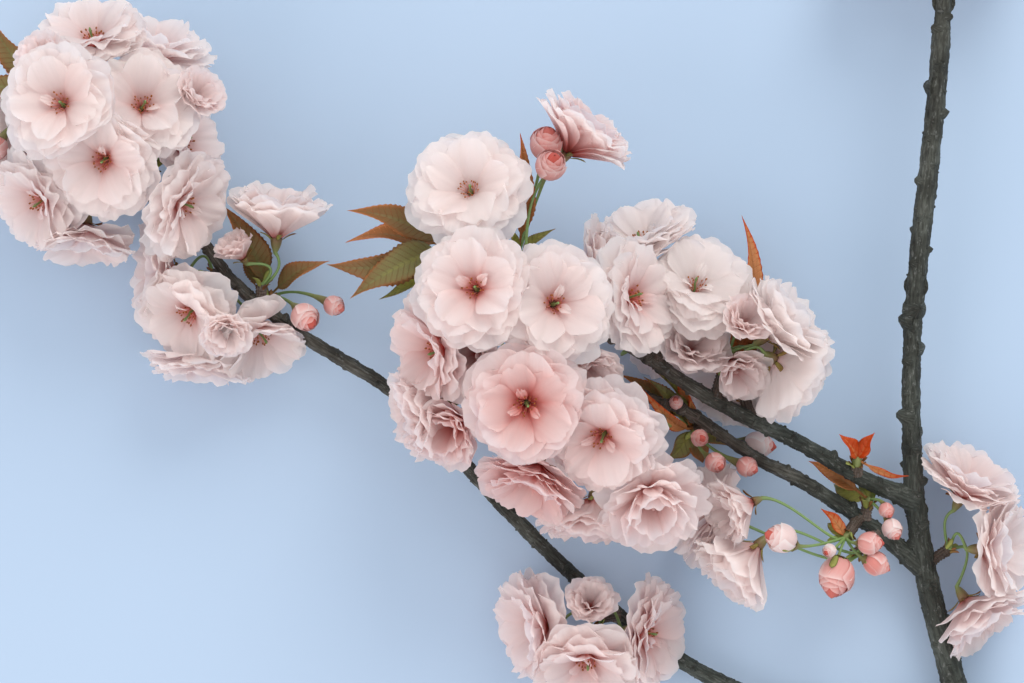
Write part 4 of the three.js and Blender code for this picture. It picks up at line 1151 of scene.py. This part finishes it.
def growSprigs(stalkLines, bladeGrids):
    leafGrids, budPetals = [], []
    for rank, (spurName, leaves, buds) in enumerate(sprigs.values()):
        draw = random.Random(500 + rank)
        spur = spurPlaces[spurName]
        base = spur["tip"] - sprigFoot["sunk"] * spur["axis"]
        top = spur["tip"] + sprigFoot["length"] * spur["axis"]
        middle = 0.4 * spur["tip"] + 0.6 * top
        values = {"thick": np.array(sprigFoot["radii"]) / metre, "tone": sprigFoot["tone"]}
        stalkLines.append({"points": np.linspace(base, top, len(sprigFoot["radii"])), "values": values})
        for leaf in leaves:
            root = middle + 0.5 * unit(place(leaf[0]) - middle)
            leafGrids.append(leafGrid(root, leaf, near(middle, leafShape["reach"]), draw))
        for spot, diameter, coral in buds:
            centre = place(spot)
            root = middle + 0.5 * unit(centre - middle)
            curve = budStalk(root, centre, diameter, spur, near(middle, budShape["reach"]))
            way = unit(curve[-1] - curve[-3])
            keepClearOf(curve[3:], budShape["stalkRadius"])
            keepClearOf(centre[None], diameter / 2)
            shares = np.linspace(0, 1, budShape["steps"])
            widths = [0.62, 0.55, 0.8, 0.2 * diameter, 0.26 * diameter]
            radii = np.interp(shares, [0, 0.5, 0.8, 0.94, 1], widths)
            tones = np.linspace(*budShape["stalkTones"], budShape["steps"])
            stalkLines.append({"points": curve, "values": {"thick": radii / metre, "tone": tones}})
            budPetals += budGrids(centre, way, diameter, coral, draw)
            for index in range(budShape["sepals"]):
                radial = outAt(2 * math.pi * index / budShape["sepals"] + rank, *sidesOf(way))
                foot = curve[-1] + 0.2 * diameter * radial
                tone = 0.25 + draw.uniform(-0.1, 0.15)
                bladeGrids.append(blade(
                    foot, way, radial, 0.55 * diameter, 0.3 * diameter, *budShape["sepalLean"], tone, draw))
    handOver(makeGrids("leaves", leafGrids, leafSkin), list(sprigs))
    handOver(makeGrids("buds", budPetals, budSkin))
    print(len(leafGrids), "leaves and", len(budPetals), "petals of buds made")


# Short scales stand round the tip of each spur, and every fourth is a long green bract.
scaleShape = {
    "count": 9, "ring": 2.0, "sunk": (0.6, 2.2), "widthShare": 0.55, "foot": 18, "tip": (35, 75),
    "length": (3, 4.6), "tone": (0.45, 1), "bractLength": (6, 8.5), "bractTone": (0, 0.3),
}


def growScales(bladeGrids):
    for rank, spur in enumerate(spurPlaces.values()):
        draw = random.Random(900 + rank)
        for index in range(scaleShape["count"]):
            radial = outAt(index * 2.4 + draw.uniform(-0.3, 0.3), *sidesOf(spur["axis"]))
            large = index % 4 == 3
            length = draw.uniform(*scaleShape["bractLength" if large else "length"])
            sunk = draw.uniform(*scaleShape["sunk"])
            root = spur["tip"] - sunk * spur["axis"] + scaleShape["ring"] * radial
            tone = draw.uniform(*scaleShape["bractTone" if large else "tone"])
            bladeGrids.append(blade(
                root, spur["axis"], radial, length, scaleShape["widthShare"] * length,
                scaleShape["foot"], draw.uniform(*scaleShape["tip"]), tone, draw))


def growBlooms(tubes):
    stalkLines, bladeGrids = [], []
    growSprigs(stalkLines, bladeGrids)
    growScales(bladeGrids)
    for name, spur in spurPlaces.items():
        group = [pose for pose in poses.values() if pose["spur"] == name]
        if group:
            standStalks(spur, group)
    for pose in youngPoses.values():
        spur = spurPlaces[pose["spur"]]
        pose["stalkWay"] = spur["axis"]
        pose["stalkFoot"] = spur["tip"] - stalkShape["sunk"] * spur["axis"]
    stalkRank = {}
    everyPose = {**poses, **youngPoses}
    for rank, (name, pose) in enumerate(everyPose.items()):
        curve = stalkCurve(pose, near(pose["middle"], stalkShape["reach"]))
        stalkRank[name] = len(wayPoints)
        keepClearOf(curve[3:-1:2], stalkShape["radius"])
        stalkLines.append(stalkLine(pose, curve))
        bladeGrids += sepalsOf(pose, random.Random(300 + rank))
    print("stalks and scales laid out")

    clusters = {}
    for rank, (name, pose) in enumerate(everyPose.items()):
        others = near(pose["middle"], bloomSize["reach"], skip={stalkRank[name]})
        clusters.setdefault(pose["cluster"], {})[name] = petalsOf(pose, random.Random(100 + rank), others)
    for cluster, members in clusters.items():
        grids = [grid for petals in members.values() for grid in petals]
        piece = makeGrids("petals" + cluster.capitalize(), grids, petalSkin)
        handOver(piece, [name for name in members if name in poses])
        print(piece.name, 2 * len(piece.data.polygons), "triangles")

    handOver(growWith(makeLines("stalks", stalkLines), tubes, tubeShape))
    handOver(makeGrids("scalesAndSepals", bladeGrids, scaleSkin))


tubes = tubeTree()
growBlooms(tubes)


# The eye of a bloom: a tuft of stamens round a green pistil.
stamenShape = {
    "Filament length": 6.8 / metre, "Filament width": 0.26 / metre, "Anther size": 0.5 / metre, "Seed": 3,
    "Filament skin": filamentSkin, "Anther skin": antherSkin,
}
eyeShape = {
    "stamens": 18, "spread": 30, "height": 1.8, "ring": 1.1, "tone": 0.4, "pistilHeight": 10.2,
    "pistilSides": 8, "pistilRadii": [0.9, 0.95, 0.85, 0.6, 0.45, 0.4, 0.45, 0.6, 0.3],
}


def stamenTree():
    tree, given = startTree("stamensOnPoints", stamenShape)
    length = given["Filament length"]
    side, half, width = (
        addNode(tree, "ShaderNodeMath", {0: whole, 1: share}, operation="MULTIPLY")
        for whole, share in ((length, 0.16), (length, 0.5), (given["Filament width"], 0.5)))
    end = addNode(tree, "ShaderNodeCombineXYZ", {"Z": length})
    bend = addNode(tree, "ShaderNodeCombineXYZ", {"X": side, "Z": half})
    line = addNode(tree, "GeometryNodeCurveQuadraticBezier", {
        "Resolution": 4, "Start": (0, 0, 0), "Middle": bend, "End": end})
    ring = addNode(tree, "GeometryNodeCurvePrimitiveCircle", {"Resolution": 4, "Radius": width})
    tube = addNode(tree, "GeometryNodeCurveToMesh", {"Curve": line, "Profile Curve": ring, "Fill Caps": True})
    head = addNode(tree, "GeometryNodeMeshIcoSphere", {"Radius": given["Anther size"], "Subdivisions": 1})
    seated = addNode(tree, "GeometryNodeTransform", {
        "Geometry": head, "Translation": end, "Scale": (0.8, 0.8, 1.2)})
    marked = addNode(tree, "GeometryNodeStoreNamedAttribute", {
        "Geometry": seated, "Name": "anther", "Value": True}, data_type="BOOLEAN", domain="FACE")
    both = addNode(tree, "GeometryNodeJoinGeometry", {0: [tube, marked]})
    way = addNode(tree, "GeometryNodeInputNamedAttribute", {"Name": "way"}, data_type="FLOAT_VECTOR")
    aligned = addNode(tree, "FunctionNodeAlignRotationToVector", {"Vector": way}, axis="Z")
    size = addNode(tree, "FunctionNodeRandomValue", {2: 0.72, 3: 1.1, "Seed": given["Seed"]},
                   data_type="FLOAT").outputs[1]
    placed = addNode(tree, "GeometryNodeInstanceOnPoints", {
        "Points": given["Geometry"], "Instance": both, "Rotation": aligned, "Scale": size})
    isAnther = addNode(tree, "GeometryNodeInputNamedAttribute", {"Name": "anther"}, data_type="BOOLEAN")
    return finishTree(tree, placed, {"Material": given["Filament skin"]},
                      {"Selection": isAnther, "Material": given["Anther skin"]})


def growEyes(tubes):
    points, ways, seeds, pistils = [], [], [], []
    count = eyeShape["stamens"]
    for rank, pose in enumerate(poses.values()):
        draw = random.Random(700 + rank)
        foot, axis = pose["foot"], pose["axis"]
        for index in range(count):
            radial = outAt(index * 2.4 + draw.uniform(-0.2, 0.2), *pose["sides"])
            lean = math.radians(eyeShape["spread"] * math.sqrt((index + 0.5) / count))
            points.append(foot + eyeShape["height"] * axis + eyeShape["ring"] * radial)
            ways.append(math.sin(lean) * radial + math.cos(lean) * axis)
            seeds.append([index, rank, draw.uniform(0, 50)])
        tip = foot + eyeShape["pistilHeight"] * axis + 0.8 * pose["sides"][0]
        line = bezier([foot + axis, foot + 4 * axis, tip - 3 * axis, tip], 9)
        radii = np.array(eyeShape["pistilRadii"])
        pistils.append({"points": line, "values": {"thick": radii / metre, "tone": np.linspace(0.1, 0.4, 9)}})
    values = {"way": np.array(ways), "spot": np.array(seeds), "tone": np.full(len(ways), eyeShape["tone"])}
    stamens = makeObject("stamens", np.array(points), [], [], values)
    handOver(growWith(stamens, stamenTree(), stamenShape))
    pistilShape = {**tubeShape, "Sides": eyeShape["pistilSides"]}
    handOver(growWith(makeLines("pistils", pistils), tubes, pistilShape))
    print("eyes made")


growEyes(tubes)


# The cut end: a disc of fresh wood just proud of the saw cut, dull and pale, with its growth rings.
cutShape = {
    "share": 0.93, "rows": 12, "columns": 49, "proud": 0.25, "fall": 0.12, "ridge": 0.03, "ridges": 40,
    "thickness": 0.3, "ringTurns": 9.0, "stops": [(0.0, "#B98A5C"), (0.6, "#D9B483"), (1.0, "#E2C59A")],
}


def cutMaterial(name, look):
    material, tree = startMaterial(name)
    run = addNode(tree, "ShaderNodeAttribute", attribute_name="run").outputs["Fac"]
    waves = addNode(tree, "ShaderNodeMath", {0: run, 1: look["ringTurns"]}, operation="MULTIPLY")
    rings = addNode(tree, "ShaderNodeMath", {0: waves}, operation="SINE")
    dealt = addNode(tree, "ShaderNodeMapRange", {"Value": rings, "From Min": -1.0})
    tones = addNode(tree, "ShaderNodeValToRGB", {"Fac": dealt}, look["stops"])
    surface = addNode(tree, "ShaderNodeBsdfPrincipled", {"Base Color": tones, "Roughness": 0.75, "IOR": 1.5})
    addNode(tree, "ShaderNodeOutputMaterial", {"Surface": surface})
    return material


def growCutFace():
    points, radii = limbLines["stem"]
    way = unit(points[0] - points[2])
    angle = np.linspace(0, 2 * math.pi, cutShape["columns"])[None, :]
    share = np.linspace(0.0, cutShape["share"], cutShape["rows"])[:, None]
    radius = radii[0] * share * (1 + 0.03 * np.sin(3 * angle + 1) * share)
    ridges = cutShape["ridge"] * np.sin(share * cutShape["ridges"])
    rise = cutShape["proud"] - cutShape["fall"] * share ** 4 + ridges
    disc = points[0] + ringsOf(radius, angle, *sidesOf(way)) + rise[..., None] * way
    grid = {"points": disc, "thickness": cutShape["thickness"], "values": {"run": radius}}
    handOver(makeGrids("cutFace", [grid], cutMaterial("freshCutCherryWood", cutShape)))


growCutFace()


# The table, the light and the camera, in metres.
stageSet = {"floor": 6.0, "floorColour": "#B4CCE6", "lightColour": "#F0F0F2", "lightStrength": 0.97}
lamps = {
    "softKey": {"size": 3.0, "power": 100, "spot": (1.5, 3.5, 2.6), "colour": "#FFF8F0"},
    "softFill": {"size": 4.8, "power": 84, "spot": (-3.3, -2.2, 2.2), "colour": "#FFECE4"},
}
cameraSet = {"sensor": 36, "pixels": 1024}


# Pale matt paint: a flat even ground that keeps soft shadows.
def setTable():
    side = stageSet["floor"] / 2
    mesh = bpy.data.meshes.new("table")
    corners = [(-side, -side, 0), (side, -side, 0), (side, side, 0), (-side, side, 0)]
    mesh.from_pydata(corners, [], [(0, 1, 2, 3)])
    floor = bpy.data.objects.new("table", mesh)
    bpy.context.scene.collection.objects.link(floor)
    material, tree = startMaterial("palePaintedTable")
    surface = addNode(tree, "ShaderNodeBsdfPrincipled", {
        "Base Color": colour(stageSet["floorColour"]), "Roughness": 0.9})
    addNode(tree, "ShaderNodeOutputMaterial", {"Surface": surface})
    mesh.materials.append(material)


def setLight():
    world = bpy.data.worlds.new("softRoom")
    world.use_nodes = True
    background = world.node_tree.nodes["Background"].inputs
    background["Color"].default_value = colour(stageSet["lightColour"])
    background["Strength"].default_value = stageSet["lightStrength"]
    bpy.context.scene.world = world
    bpy.context.scene.view_settings.view_transform = "Standard"
    for name, lamp in lamps.items():
        light = bpy.data.lights.new(name, "AREA")
        light.shape, light.size, light.energy = "DISK", lamp["size"], lamp["power"]
        light.color = colour(lamp["colour"])[:3]
        stand = bpy.data.objects.new(name, light)
        bpy.context.scene.collection.objects.link(stand)
        stand.location = lamp["spot"]
        x, y, z = (-side for side in lamp["spot"])  # it faces the middle of the table
        stand.rotation_euler = (math.atan2(math.hypot(x, y), -z), 0, math.atan2(y, x) - math.pi / 2)


# The camera looks straight down from the eye of the plan.
def setCamera():
    camera = bpy.data.cameras.new("camera")
    camera.sensor_width = cameraSet["sensor"]
    across = cameraSet["pixels"] * plan["square"]
    camera.lens = cameraSet["sensor"] * (plan["eyeHeight"] - plan["sharpHeight"]) / across
    view = bpy.data.objects.new("camera", camera)
    view.location = (np.array([0, 0, plan["eyeHeight"]]) + shift) / metre
    bpy.context.scene.collection.objects.link(view)
    bpy.context.scene.camera = view


setTable()
setLight()
setCamera()

print("scene made")
